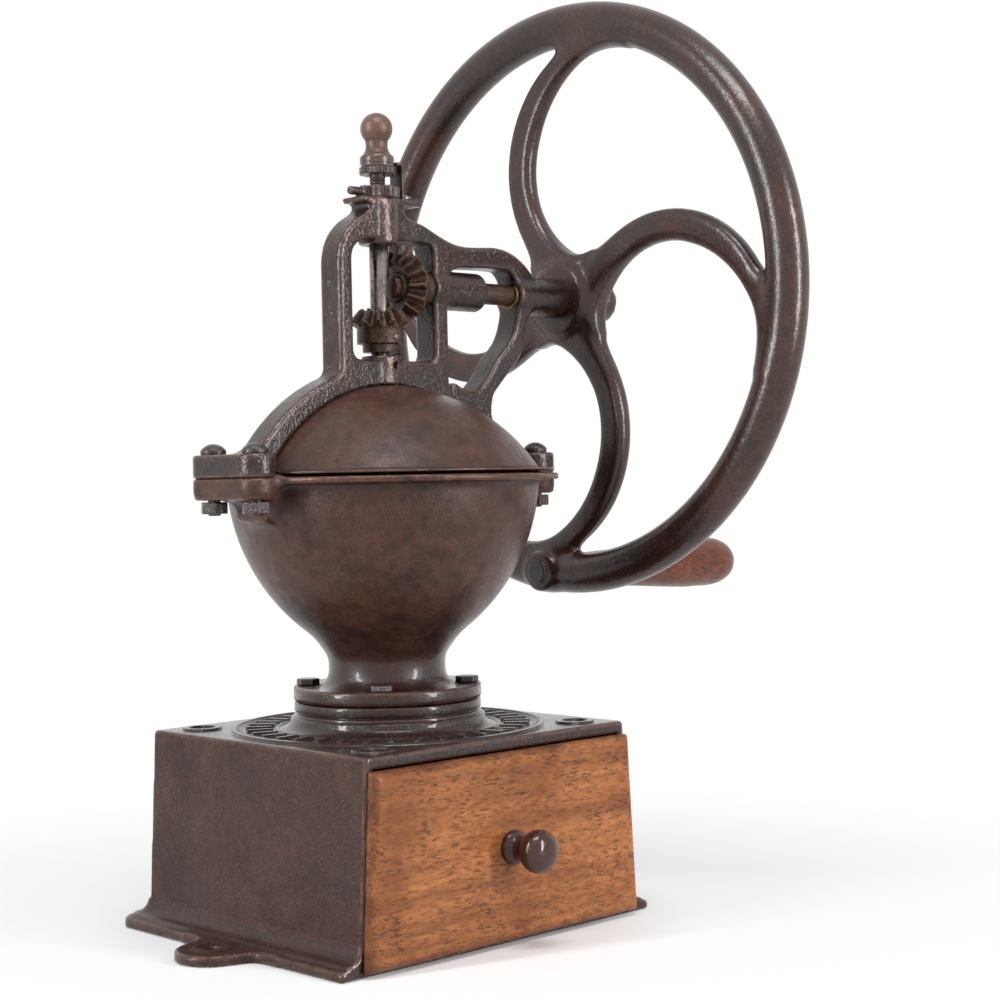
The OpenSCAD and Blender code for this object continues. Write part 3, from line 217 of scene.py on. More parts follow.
def cast(name, field, low, high, step):
    """Meshes field(x, y, z) = 0 in mm. Each cell of the grid that the surface crosses gets one point, at
    the mean of its crossings, neighbours round a crossed edge make a quad, and the points then slide down
    the field's slope onto the surface. Wear is the field's mean 2 mm away in six directions, as a slope."""
    axes = [np.arange(a, b + step, step) for a, b in zip(low, high)]
    n = [len(a) for a in axes]
    slices = 12  # planes of the grid at a time, to save memory
    values = np.concatenate([field(*np.meshgrid(axes[0][i:i + slices], axes[1], axes[2], indexing="ij"))
                             for i in range(0, n[0], slices)])
    inside = values < 0
    where, flips = [], []
    for d in range(3):
        near = tuple(slice(0, -1) if k == d else slice(None) for k in range(3))
        far = tuple(slice(1, None) if k == d else slice(None) for k in range(3))
        crossed = inside[near] != inside[far]
        at = np.argwhere(crossed)
        v0, v1 = values[near][crossed], values[far][crossed]
        place = at.astype(float)
        place[:, d] += v0 / (v0 - v1)
        along, e, f = np.roll(np.eye(3, dtype=int), -d, 0)
        first = at + along
        where.append((np.stack([first, first + e, first + e + f, first + f], 1), place))
        flips.append(inside[near][crossed])
    every = np.concatenate([r.reshape(-1, 3) for r, _ in where])
    flat = np.ravel_multi_index(every.T, [m + 1 for m in n])
    used, number = np.unique(flat, return_inverse=True)
    spots = np.concatenate([np.repeat(p, 4, 0) for _, p in where])
    total = np.stack([np.bincount(number, spots[:, axis], len(used)) for axis in range(3)], 1)
    points = total / np.bincount(number, minlength=len(used))[:, None] * step + np.array(low)
    faces = number.reshape(-1, 4)
    flip = np.concatenate(flips)
    faces[flip] = faces[flip][:, ::-1]
    nudge = 0.15  # mm, for the slope
    for _ in range(5):
        value = field(*points.T)
        slope = np.stack([(field(*(points + nudge * e).T) - field(*(points - nudge * e).T)) / (2 * nudge)
                          for e in np.eye(3)], 1)
        move = -value[:, None] * slope / np.maximum((slope ** 2).sum(1, keepdims=True), 0.05)
        reach = np.linalg.norm(move, axis=1, keepdims=True)
        points += move * np.minimum(1, 0.6 * step / np.maximum(reach, 1e-9))
    obj = surface(name, points * MM, faces)
    reach = 2.0  # mm, for the wear
    mean = sum(field(*(points + s * reach * e).T) for e in np.eye(3) for s in (-1, 1)) / 6
    store(obj.data, mean / reach)
    print(name, "points", len(points), "faces", len(faces))
    return obj

# %% Outline fields
def outline(points, margin=12, cell=0.5):
    """The signed distance to a closed outline, worked out once on a raster and read back between its cells:
    the nearest distance to any side, negative where a ray crosses the sides an odd number of times."""
    p = np.asarray(points, float)
    q = np.roll(p, -1, 0)
    low = p.min(0) - margin
    n = np.ceil((p.max(0) + margin - low) / cell).astype(int) + 1
    gx, gz = np.meshgrid(low[0] + cell * np.arange(n[0]), low[1] + cell * np.arange(n[1]), indexing="ij")
    best = np.full(gx.shape, 1e9)
    odd = np.zeros(gx.shape, bool)
    for a, b in zip(p, q):
        d = b - a
        t = np.clip(((gx - a[0]) * d[0] + (gz - a[1]) * d[1]) / max(d @ d, 1e-9), 0, 1)
        best = np.minimum(best, np.hypot(gx - a[0] - t * d[0], gz - a[1] - t * d[1]))
        spans = (a[1] > gz) != (b[1] > gz)
        rise = d[1] if abs(d[1]) > 1e-9 else 1e-9
        odd ^= spans & (gx < a[0] + (gz - a[1]) / rise * d[0])
    raster = np.where(odd, -best, best)

    def distance(x, z):
        """The raster's value at a point, from the four cells round it."""
        u = np.clip((x - low[0]) / cell, 0, n[0] - 1.001)
        v = np.clip((z - low[1]) / cell, 0, n[1] - 1.001)
        i, j = u.astype(int), v.astype(int)
        fu, fv = u - i, v - j
        near = raster[i, j] * (1 - fv) + raster[i, j + 1] * fv
        return near * (1 - fu) + (raster[i + 1, j] * (1 - fv) + raster[i + 1, j + 1] * fv) * fu
    return distance

def softened(points, radius):
    """A closed outline with its corners rounded off."""
    p = np.asarray(points, float)
    start = (p[0] + p[-1]) / 2
    return rounded(np.vstack([start, p, start]), radius, 6)[:-1]

def rod(x, y, z, start, end, radius, edge):
    """A round bar between two points on one axis: a slab of the distance from the axis."""
    start, end = np.array(start, float), np.array(end, float)
    length = np.linalg.norm(end - start)
    u = (end - start) / length
    x, y, z = x - start[0], y - start[1], z - start[2]
    along = x * u[0] + y * u[1] + z * u[2]
    away = np.sqrt(np.maximum(x ** 2 + y ** 2 + z ** 2 - along ** 2, 0))
    return slab(away - radius, along - length / 2, length / 2, edge)

# %% Copies of CAD solids with broken edges
def broken_edges(node, width):
    """A merged copy of a node's mesh; edges sharper than 28 degrees get a small round, `width` mm across."""
    mesh = NODES[node].data.copy()
    mesh.materials.clear()
    bm = bmesh.new()
    bm.from_mesh(mesh)
    bmesh.ops.remove_doubles(bm, verts=bm.verts, dist=MERGE)
    bmesh.ops.dissolve_limit(bm, angle_limit=math.radians(0.3), verts=bm.verts, edges=bm.edges)
    if width:
        sharp = [e for e in bm.edges if len(e.link_faces) == 2 and e.calc_face_angle(0) > math.radians(28)]
        bmesh.ops.bevel(bm, geom=sharp, offset=width * MM, offset_type="OFFSET", segments=2, profile=0.5,
                        affect="EDGES", clamp_overlap=True)
    bmesh.ops.triangulate(bm, faces=bm.faces)
    bm.to_mesh(mesh)
    bm.free()
    obj = bpy.data.objects.new(node + "_piece", mesh)
    bpy.context.scene.collection.objects.link(obj)
    mesh.shade_smooth()
    mesh.set_sharp_from_angle(angle=math.radians(50))
    store(mesh, mesh_wear(mesh))
    return obj

EASING = [0.5, -0.52] * 6  # shares of the way to the neighbours' mean, there and back

def poured(node, cell):
    """A copy rebuilt on a grid of `cell` mm and eased, so that its edges are as round as a casting's: each pass
    moves the points towards their neighbours' mean, and then nearly as far back, which keeps the size."""
    obj = broken_edges(node, 0)
    grid = obj.modifiers.new("grid", "REMESH")
    grid.mode, grid.voxel_size, grid.use_smooth_shade = "VOXEL", cell * MM, True
    mesh = bpy.data.meshes.new_from_object(obj.evaluated_get(bpy.context.evaluated_depsgraph_get()))
    obj.modifiers.clear()
    obj.data = mesh
    a, b, n, count = neighbours(mesh)
    co = read(mesh.vertices, "co")
    for share in EASING:
        total = np.stack([np.bincount(a, co[b, k], n) + np.bincount(b, co[a, k], n) for k in range(3)], 1)
        co += share * (total / count[:, None] - co)
    mesh.vertices.foreach_set("co", co.ravel())
    mesh.update()
    mesh.shade_smooth()
    store(mesh, mesh_wear(mesh) * 1.3)
    print(node, "faces", len(mesh.polygons))
    return obj

def small_parts(body, slot, finish, make, size, *nodes):
    """One copy, broken-edged or poured, for each of several nodes of one body."""
    for node in nodes:
        stands_for(make(node, size), body, slot, finish, node)

# %% [markdown]
# ## Finishes: the shared effects
#
# The iron was never painted. Oil, smoke and hands gave it a brown skin that is warmer and cooler in
# patches, the sand of the mould left a grain, and edges are rubbed bright; here corners are kept black
# with painted shade and grime.
# Each of these is one node group that puts out a mask or a height, so every iron can use it with its
# own strength. A photographed texture could show one surface, but it wouldn't follow these edges.

# %% Node helpers
def feed(tree, node, inputs):
    """Links each socket that is given, and sets anything else as the input's value."""
    for key, value in inputs.items():
        if isinstance(value, bpy.types.NodeSocket):
            tree.links.new(value, node.inputs[key])
        else:
            node.inputs[key].default_value = value

def add(tree, kind, inputs=None, **settings):
    """A shader node with its settings and inputs."""
    node = tree.nodes.new("ShaderNode" + kind)
    for key, value in settings.items():
        setattr(node, key, value)
    feed(tree, node, inputs or {})
    return node

def place_in(tree):
    """Where a point is on its own object, in metres."""
    return add(tree, "TexCoord").outputs["Object"]

def stored(tree, name):
    """A number stored in the mesh."""
    return add(tree, "Attribute", attribute_name=name).outputs["Fac"]

def noise(tree, where, scale, detail=4.0, rough=0.55, twist=0.0):
    """Cloudy noise from 0 to 1, with `scale` patches to the metre."""
    return add(tree, "TexNoise", {"Vector": where, "Scale": scale, "Detail": detail, "Roughness": rough,
                                  "Distortion": twist}).outputs["Fac"]

def spread(tree, value, low, high, start=0.0, end=1.0):
    """Stretches low..high to start..end and holds the ends."""
    return add(tree, "MapRange", {0: value, 1: low, 2: high, 3: start, 4: end}).outputs[0]

def times(tree, a, b):
    """a times b."""
    return add(tree, "Math", {0: a, 1: b}, operation="MULTIPLY").outputs[0]

def plus(tree, a, b):
    """a plus b."""
    return add(tree, "Math", {0: a, 1: b}, operation="ADD").outputs[0]

def mixed(tree, share, a, b):
    """Colour b over colour a, by a mask; a colour is a socket or three numbers."""
    a, b = (c if isinstance(c, bpy.types.NodeSocket) else (*c, 1) for c in (a, b))
    return add(tree, "Mix", {0: share, 6: a, 7: b}, data_type="RGBA").outputs[2]

def tinted(colour, *shares):
    """A colour with its red, green and blue each multiplied by a share of its own."""
    return [c * share for c, share in zip(colour, shares)]

def bumped(tree, height, depth):
    """The normal of a surface with this height, `depth` mm from 0 to 1."""
    return add(tree, "Bump", {"Height": height, "Strength": 1.0, "Distance": depth * MM}).outputs[0]

def new_material(name):
    """An empty material, its node tree and its Principled BSDF."""
    material = bpy.data.materials.new(name)
    material.use_nodes = True
    return material, material.node_tree, material.node_tree.nodes["Principled BSDF"]

def effect(name, inputs, outputs, build):
    """A node group. `inputs` gives names and values; `build` takes the tree and its sockets and returns
    what the outputs put out."""
    tree = bpy.data.node_groups.new(name, "ShaderNodeTree")
    for key, value in inputs.items():
        socket = tree.interface.new_socket(name=key, in_out="INPUT", socket_type="NodeSocketFloat")
        socket.default_value = value
    for key in outputs:
        tree.interface.new_socket(name=key, in_out="OUTPUT", socket_type="NodeSocketFloat")
    given = tree.nodes.new("NodeGroupInput").outputs
    result = tree.nodes.new("NodeGroupOutput").inputs
    for key, value in zip(outputs, build(tree, given)):
        tree.links.new(value, result[key])
    return tree

def use(tree, group, inputs=None):
    """Places a shared effect in a material and returns its outputs."""
    return add(tree, "Group", inputs, node_tree=group).outputs

# %% Patina, sand grain and wear
def build_patina(tree, given):
    """Three masks of different patches: how warm the skin is, where it rusts, and where smoke has settled."""
    where = place_in(tree)
    broad = noise(tree, where, given["Patches"], 5, 0.62, 0.4)
    fine = add(tree, "TexNoise", {"Vector": where, "Scale": times(tree, given["Patches"], 9.0), "Detail": 3.0})
    tone = spread(tree, plus(tree, broad, times(tree, fine.outputs["Fac"], 0.5)), 0.60, 0.90)
    rust = spread(tree, noise(tree, where, 31.0, 7, 0.7, 0.8), 0.60, 0.74)
    smoke = spread(tree, noise(tree, where, 17.0, 6, 0.66, 0.5), 0.52, 0.70)
    return tone, rust, smoke

def build_sand(tree, given):
    """The mould's grain on broad waves, pitted where they are high, and masks of its peaks and valleys."""
    where = place_in(tree)
    grain = noise(tree, where, given["Grain"], 3, 0.6)
    lumps = noise(tree, where, times(tree, given["Grain"], 0.22), 3, 0.5)
    cells = add(tree, "TexVoronoi", {"Vector": where, "Scale": times(tree, given["Grain"], 0.6)})
    pits = spread(tree, cells.outputs["Distance"], 0.08, 0.34, -0.5, 0.0)
    pitted = times(tree, pits, spread(tree, lumps, 0.45, 0.62))
    height = plus(tree, plus(tree, grain, times(tree, lumps, given["Waves"])), pitted)
    return height, spread(tree, grain, 0.52, 0.72), spread(tree, grain, 0.50, 0.34)

def build_wear_and_shade(tree, given):
    """Masks of the edges that are rubbed bright, broken up a little, and of the corners, which get painted
    shade and grime.
    """
    convex = stored(tree, "wear")
    where = place_in(tree)
    patchy = spread(tree, noise(tree, where, 160.0, 5, 0.65), 0.36, 0.62)
    bright = times(tree, spread(tree, convex, given["Start"], given["Full"]), patchy)
    # corners: the mask of painted shade and grime
    deep = spread(tree, convex, -0.02, -0.14)
    return bright, deep

patina = effect("patina", {"Patches": 24.0}, ["Tone", "Rust", "Smoke"], build_patina)
sand = effect("sand_grain", {"Grain": 900.0, "Waves": 0.6}, ["Height", "Peaks", "Valleys"], build_sand)
wear_and_shade = effect("edge_wear_and_corner_shade", {"Start": 0.05, "Full": 0.22}, ["Bright", "Shade_and_grime"], build_wear_and_shade)
print("effects:", [g.name for g in (patina, sand, wear_and_shade)])

# %% [markdown]
# ## Finishes: the irons
#
# One recipe makes every iron of the mill. Its brown skin is a mix of a dark and a warm tone, the worn
# edges go paler and turn metallic, corners go nearly black with painted shade and grime, the grain's
# peaks take painted glints, and the grain lifts the surface. The bridge is grainy and dark, the bowl and
# lid are smoother and browner, and the wheel is polished by hands. Each iron could have nodes of its
# own, but one recipe keeps them all of one family.

# %% Irons
# the colour of the painted shade and grime in corners
CORNER_SHADE_AND_GRIME = (0.010, 0.006, 0.005)
# the colour of oily parts, and of the painted shade under the hopper's bowl
OIL_AND_SHADE_TONE = (0.014, 0.007, 0.006)

def iron(name, dark, warm, edge, rough, grain, relief, waves, patches, worn=(0.10, 0.34), shine=0.25,
         glint_paint=0.22, film=0.15):
    """A skin of oiled iron, with painted shade and grime in its corners and painted glints on its grain.
    `dark`,
    `warm` and `edge` are its colours, `rough` its roughness in the warm and in the dark patches, `grain` and
    `patches` how many there are to the metre, `relief` its bump in mm, `waves` the share of broad bumps, `worn`
    how convex an edge is where its wear starts and is full, `shine` its specular level, `glint_paint` how pale
    the grain's peaks are painted, as glints, and `film` how oily the smoked patches."""
    material, tree, skin = new_material(name)
    tone, rust, smoke = use(tree, patina, {"Patches": patches})
    height, peaks, valleys = use(tree, sand, {"Grain": grain, "Waves": waves})
    bright, deep = use(tree, wear_and_shade, {"Start": worn[0], "Full": worn[1]})
    oil_and_shade = stored(tree, "oil_and_shade")
    colour = mixed(tree, tone, dark, warm)
    # in these layers the deep corners take painted shade and grime
    layers = [(rust, 0.45, tinted(warm, 1.55, 1.1, 0.85)), (smoke, 0.75, tinted(dark, 0.5, 0.55, 0.65)),
              # oil_and_shade: oily parts go darker and glossier; on the hopper's neck this is also painted
              # shade under the bowl
              (valleys, 0.55, tinted(dark, 0.4, 0.4, 0.4)), (oil_and_shade, 0.8, OIL_AND_SHADE_TONE), (deep, 0.75, CORNER_SHADE_AND_GRIME),
              # the grain's peaks take painted glints, as pale as glint_paint
              (peaks, glint_paint, edge), (bright, 1.0, edge)]
    for mask, share, over in layers:
        colour = mixed(tree, times(tree, mask, share), colour, over)
    matt = spread(tree, tone, 0.0, 1.0, rough[1], rough[0])
    for mask, share in [(deep, 0.2), (oil_and_shade, -0.13), (bright, -0.12)]:
        matt = plus(tree, matt, times(tree, mask, share))
    feed(tree, skin, {
        "Base Color": colour, "Roughness": matt, "Metallic": times(tree, bright, 0.7),
        "Specular IOR Level": shine,
        "Coat Weight": plus(tree, times(tree, oil_and_shade, 0.45), times(tree, smoke, film)), "Coat Roughness": 0.13,
        "Normal": bumped(tree, height, relief)})
    return material

casing_iron = iron("casing_iron", (0.027, 0.012, 0.010), (0.066, 0.026, 0.020), (0.140, 0.072, 0.052),
                   rough=(0.25, 0.38), grain=900.0, relief=0.35, waves=0.5, patches=20.0, worn=(0.05, 0.22),
                   shine=0.22, glint_paint=0.35)
bowl_iron = iron("bowl_iron", (0.024, 0.011, 0.009), (0.088, 0.037, 0.024), (0.140, 0.072, 0.050),
                 rough=(0.24, 0.36), grain=1300.0, relief=0.2, waves=0.9, patches=17.0, worn=(0.05, 0.22),
                 shine=0.28, glint_paint=0.3)
bridge_iron = iron("bridge_iron", (0.012, 0.006, 0.005), (0.044, 0.018, 0.012), (0.122, 0.082, 0.069),
                   rough=(0.11, 0.21), grain=620.0, relief=0.38, waves=1.2, patches=40.0, worn=(0.04, 0.20),
                   shine=0.48, glint_paint=0.16, film=0.4)
wheel_iron = iron("wheel_iron", (0.017, 0.008, 0.006), (0.052, 0.021, 0.015), (0.130, 0.068, 0.050),
                  rough=(0.20, 0.30), grain=900.0, relief=0.10, waves=2.2, patches=30.0, worn=(0.07, 0.28),
                  shine=0.5, glint_paint=0.2, film=0.1)
bolt_iron = iron("bolt_iron", (0.018, 0.010, 0.009), (0.044, 0.022, 0.017), (0.150, 0.100, 0.080),
                 rough=(0.14, 0.24), grain=1100.0, relief=0.3, waves=0.6, patches=60.0, shine=0.5, glint_paint=0.3,
                 film=0.3)
knob_iron = iron("knob_iron", (0.085, 0.039, 0.026), (0.190, 0.094, 0.062), (0.28, 0.19, 0.14),
                 rough=(0.22, 0.32), grain=1600.0, relief=0.15, waves=0.8, patches=80.0, shine=0.42)
shaft_iron = iron("shaft_iron", (0.024, 0.013, 0.010), (0.056, 0.027, 0.018), (0.13, 0.08, 0.06),
                  rough=(0.17, 0.27), grain=1500.0, relief=0.12, waves=0.8, patches=60.0, shine=0.26)
print("irons:", [m.name for m in bpy.data.materials])

# %% [markdown]
# ## Finishes: steel, gears and bronze
#
# The spindle, the screws and the burrs are bare steel and the bushes are bronze: true metal with
# fine marks and brown staining. Metal alone would look new, so noise decides where the stain lies, and
# corners take it too, as painted shade and grime.
# The gears are cast iron with old grease between the teeth and bright flanks.

# %% Steel, bronze and gears
def steel(name, colour, stain, rough, stained):
    """Bare metal under a broken brown stain: where the stain lies, it is duller and less metallic."""
    material, tree, metal = new_material(name)
    tone, rust, _ = use(tree, patina, {"Patches": 70.0})
    _, deep = use(tree, wear_and_shade)
    fine = noise(tree, place_in(tree), 1500.0, 2, 0.5)
    cover = times(tree, spread(tree, plus(tree, tone, rust), 0.3, 1.2), stained)
    # the stain also gathers in corners, as painted shade and grime
    cover = plus(tree, cover, times(tree, deep, 0.5))
    feed(tree, metal, {
        "Base Color": mixed(tree, cover, colour, stain), "Metallic": spread(tree, cover, 0.0, 1.0, 1.0, 0.35),
        "Roughness": plus(tree, spread(tree, fine, 0.3, 0.7, rough, rough + 0.1), times(tree, cover, 0.2)),
        "Normal": bumped(tree, fine, 0.03)})
    return material

spindle_steel = steel("spindle_steel", (0.26, 0.215, 0.20), (0.030, 0.017, 0.013), 0.14, 1.0)
burr_steel = steel("burr_steel", (0.36, 0.34, 0.33), (0.10, 0.07, 0.05), 0.30, 0.5)
bush_bronze = steel("bush_bronze", (0.30, 0.17, 0.08), (0.07, 0.04, 0.02), 0.30, 0.8)
gear_iron = iron("gear_iron", (0.018, 0.010, 0.007), (0.070, 0.032, 0.015), (0.26, 0.17, 0.12),
                 rough=(0.18, 0.30), grain=900.0, relief=0.35, waves=0.8, patches=110.0, worn=(0.08, 0.30))

# %% [markdown]
# ## Finishes: the woods
#
# The drawer's board is an open-pored brown hardwood with its grain running across the front. Streaks
# are noise stretched along the grain, pores are a finer one that is cut off to short dark dashes, and
# dirt gathers at the border, where hands never wipe. The knob and the grip are darker turned wood.
# A picture of wood would lie on the faces; noise at each point's own place runs through the board.

# %% Wood grain and woods
def build_grain(tree, given):
    """Streaks, pores, figure and clouds of a board whose grain runs along X, or along Y when turned. All but
    the clouds are squeezed along the grain: their spots come out 1 / `squeeze` times as long as wide."""
    place = add(tree, "SeparateXYZ", {0: place_in(tree)}).outputs
    along_x = add(tree, "CombineXYZ", {0: place[0], 1: place[1], 2: place[2]}).outputs[0]
    along_y = add(tree, "CombineXYZ", {0: place[1], 1: place[0], 2: place[2]}).outputs[0]
    where = add(tree, "Mix", {0: given["Turned"], 4: along_x, 5: along_y}, data_type="VECTOR").outputs[1]
    bent = add(tree, "TexNoise", {"Vector": where, "Scale": 9.0, "Detail": 2.0}).outputs["Fac"]
    split = add(tree, "SeparateXYZ", {0: where}).outputs

    def along(squeeze, up=split[2]):
        """The place with its first number squeezed."""
        return add(tree, "CombineXYZ", {0: times(tree, split[0], squeeze), 1: split[1], 2: up}).outputs[0]

    streaks = noise(tree, along(0.06, plus(tree, split[2], times(tree, bent, given["Waves"]))), 60.0, 6, 0.66)
    pores = noise(tree, along(0.26), 1000.0, 2, 0.5)
    grouped = spread(tree, noise(tree, where, 45.0, 4), 0.30, 0.62, 0.25, 1.0)
    figure = noise(tree, along(0.35), 420.0, 4, 0.66)
    clouds = noise(tree, where, 19.0, 5, 0.64, 0.4)
    dashes = times(tree, spread(tree, pores, 0.52, 0.63), grouped)
    return spread(tree, streaks, 0.34, 0.68), dashes, figure, clouds

grain = effect("wood_grain", {"Waves": 0.008, "Turned": 0.0}, ["Streaks", "Pores", "Figure", "Clouds"],
               build_grain)

def wood(name, pale, deep, dark, rough, pores, border=0.0, coat=0.0, along_y=0.0):
    """Hardwood from its pale and deep streak colours and the dark one of its pores. `pores` is how dark they
    are, `border` how strongly the stored border mark darkens it (dirt at the border, and on the drawer's
    front a painted shadow of the knob with some grime), and `along_y` is 1 where the grain runs along Y."""
    material, tree, board = new_material(name)
    streaks, dashes, figure, clouds = use(tree, grain, {"Turned": along_y})
    _, corners = use(tree, wear_and_shade)
    rags = spread(tree, noise(tree, place_in(tree), 55.0, 5, 0.6), 0.3, 0.7, -0.35, 0.35)
    # the border mark: dirt along the border, and a painted shadow of the knob with some grime round it
    dirt_and_knob_shadow = spread(tree, plus(tree, stored(tree, "border"), rags), 0.62, 1.15)
    colour = mixed(tree, streaks, deep, pale)
    layers = [(spread(tree, figure, 0.40, 0.66, 0.0, 0.55), tinted(deep, 0.62, 0.5, 0.45)),
              (spread(tree, clouds, 0.48, 0.68, 0.0, 0.62), tinted(deep, 0.7, 0.55, 0.5)),
              (times(tree, dashes, pores), dark), (times(tree, dirt_and_knob_shadow, border), dark),
              # corners take painted shade and grime
              (times(tree, corners, 0.8), tinted(dark, 0.5, 0.5, 0.5))]
    for mask, over in layers:
        colour = mixed(tree, mask, colour, over)
    height = plus(tree, times(tree, dashes, -1.0), times(tree, figure, 0.35))
    feed(tree, board, {
        "Base Color": colour, "Roughness": spread(tree, figure, 0.3, 0.7, rough, rough + 0.12),
        "Specular IOR Level": 0.22, "Coat Weight": coat, "Coat Roughness": 0.12,
        "Normal": bumped(tree, height, 0.12)})
    return material

board_wood = wood("board_wood", (0.51, 0.205, 0.069), (0.225, 0.076, 0.026), (0.026, 0.010, 0.005),
                  rough=0.28, pores=0.66, border=0.7)
BOX_WOOD = (0.34, 0.185, 0.092), (0.25, 0.128, 0.060), (0.11, 0.055, 0.028)
inner_wood = wood("inner_wood", *BOX_WOOD, rough=0.5, pores=0.35)
side_wood = wood("side_wood", *BOX_WOOD, rough=0.5, pores=0.35, along_y=1.0)
knob_wood = wood("knob_wood", (0.085, 0.022, 0.015), (0.034, 0.010, 0.008), (0.008, 0.003, 0.003),
                 rough=0.10, pores=0.5, coat=0.5)
grip_wood = wood("grip_wood", (0.210, 0.064, 0.030), (0.105, 0.030, 0.015), (0.020, 0.008, 0.005),
                 rough=0.22, pores=0.8, coat=0.1)
print("finishes:", len(bpy.data.materials))

# %% [markdown]
# ## The flywheel
#
# One casting: a round rim, four spokes that each curve like a comma, and a hub that is wide at the
# front and slim at the back. Spokes could be tubes along a path, but their ends would only poke into
# the rim. As fields they flow into it, and the corners between them fill as the pattern maker's did.

# %% Sizes of the wheel, in mm
SHAFT_Z = 342.6
WHEEL_X = 147.5
RIM_R, RIM_THICK = 162, 11.6
HUB_FRONT_R, HUB_BACK_R = 19.5, 12
SPOKE_AT, SPOKE_R, SPOKE_HALF = (-30, 78), 66, 9
CUT_U, CUT_V = 0.966, 0.259  # the normal of the line that ends a spoke, 15 degrees from level
HORN_AT, HORN_R, HORN_FROM = (-42.5, 76.6), 69.3, 79
WEB_HALF, WEB_ROUND = 5.6, 4.6
SEAT_R, SEAT_FRONT, SEAT_BACK = 11.4, 12.3, 12.6
HANDLE_Y, HANDLE_Z = RIM_R * math.sin(math.radians(6)), SHAFT_Z - RIM_R * math.cos(math.radians(6))

def spoke_plan(u, v):
    """One spoke seen along the axle, u and v from its middle: it lies between two circles about SPOKE_AT, a
    third one about HORN_AT hollows it near the rim, and a straight cut through SPOKE_AT ends it."""
    away = np.hypot(u - SPOKE_AT[0], v - SPOKE_AT[1])
    hollow = SPOKE_R - SPOKE_HALF - away
    horn = HORN_R - np.hypot(u - HORN_AT[0], v - HORN_AT[1])
    hollow = np.where(v > HORN_FROM, np.maximum(hollow, horn), hollow)
    cut = -((u - SPOKE_AT[0]) * CUT_U + (v - SPOKE_AT[1]) * CUT_V)
    return np.maximum(np.maximum(away - SPOKE_R - SPOKE_HALF, hollow), cut)

def wheel_field(x, y, z):
    """Rim, web and hub: a ring, the four spoke plans given a thickness, and two coaxial drums."""
    a, u, v = x - WHEEL_X, y, z - SHAFT_Z
    away = np.hypot(u, v)
    rim = np.hypot(away - RIM_R, a) - RIM_THICK
    pair = smooth_min(spoke_plan(u, v), spoke_plan(v, -u), 22)
    plan = smooth_min(pair, smooth_min(spoke_plan(-u, -v), spoke_plan(-v, u), 22), 22)
    half = WEB_HALF + 2.0 * np.clip((60 - away) / 40, 0, 1)  # spokes are thicker near the hub
    web = slab(plan, a, half, WEB_ROUND)
    front = slab(away - HUB_FRONT_R, a + 5, 5, 1.6)
    back = slab(away - HUB_BACK_R, a - 14, 16, 1.2)
    seat = rod(x, y, z, (WHEEL_X - SEAT_FRONT, HANDLE_Y, HANDLE_Z), (WHEEL_X + SEAT_BACK, HANDLE_Y, HANDLE_Z),
               SEAT_R, 1.5)
    body = smooth_min(web, rim, 11)
    body = smooth_min(body, smooth_min(front, back, 8), 9)
    return smooth_min(body, seat, 5)

# %% Casting the wheel
R_OUT = RIM_R + RIM_THICK + 3
wheel = cast("flywheel_casting", wheel_field, (WHEEL_X - 16, -R_OUT, SHAFT_Z - R_OUT),
             (WHEEL_X + 34, R_OUT, SHAFT_Z + R_OUT), 2.0)
stands_for(wheel, "drive", "cast_iron_worn", wheel_iron, "flywheel")

# %% [markdown]
# ## The bridge
#
# A flat casting that straddles the lid: an arch, two uprights round a window, a ring-shaped window
# beside it, and round bosses that hold the shaft and the spindle. Its outline is drawn once, seen
# from the front, and everything round is blended onto it with fillets of a few millimetres. An
# extruded outline with Boolean windows would be as true, but every edge of it would be sharp.

# %% Outlines of the bridge, about the shaft's axis, in mm
BRIDGE_OUTLINE = [
    (-34.6, -60), (-34.6, 13), (-33, 20), (-29.5, 27), (-22.5, 33.8), (-15, 38), (-12.5, 40.5), (-12, 45),
    (12, 45), (12.5, 40), (15.5, 36.6), (26, 34.3), (37, 29.4), (47, 25.8), (57, 24.3), (68, 24.8), (80, 25.7),
    (88, 25), (97, 22), (105, 17), (111, 11), (112, 0), (110, -9), (105.5, -14), (103, -22), (101, -33),
    (95, -40), (88.6, -46), (80, -54.5), (76.6, -58.5), (75.4, -66), (75.5, -72), (81, -82), (0, -56)]
MAIN_WINDOW = [(-25.4, -40.5), (32.8, -40.5), (32.8, 23.4), (25, 24.4), (-17, 24), (-25.4, 18)]
RING_WINDOW = [
    (43, -55), (43, 7), (50, 12.5), (72, 13.5), (86, 13.6), (92, 13.2), (96.5, 8), (98.4, 0), (98, -8),
    (96.2, -16), (94, -22), (90.5, -28), (83, -34.8), (78, -40.5), (73, -47.5), (64.6, -55.8),
    (58.3, -56.2), (51.3, -53.4), (47.5, -51.2)]
DOME_Z, ARCH_IN, ARCH_OUT = 189, 100.4, 110.2
RIM_Z, HEAD_Z, BRIDGE_HALF = 240, 389.4, 8.5
LUG_X, LUG_Y, LUG_R, LUG_T = 99.5, 17.5, 10.5, 12
SHAFT_BOSS_R, OUTER_BOSS_R, TOP_BOSS_R, LOW_BOSS_R = 10.8, 11.5, 10.8, 10.6
SHAFT_BOSS_X, OUTER_BOSS_X = (33.4, 71.5), (98, 137)
TOP_BOSS_Z, LOW_BOSS_Z = (SHAFT_Z + 22, HEAD_Z), (288, 304.6)
TABLE_X, TABLE_HALF, TABLE_T = 3.7, 21.3, 3
SPINDLE_BORE_R, LID_ROOM_R, LID_ROOM_H = 7.2, 97, 3.4

bridge_outer = outline(softened(BRIDGE_OUTLINE, 4))
main_window = outline(softened(MAIN_WINDOW, 6))
ring_window = outline(softened(RING_WINDOW, 5))

def lug_field(x, y, z, low, thick, edge):
    """A plate with two round ends on each side of the mill: the distance from a segment, given a thickness."""
    away = np.hypot(np.abs(x) - LUG_X, np.maximum(np.abs(y) - LUG_Y, 0)) - LUG_R
    return slab(away, z - low - thick / 2, thick / 2, edge)

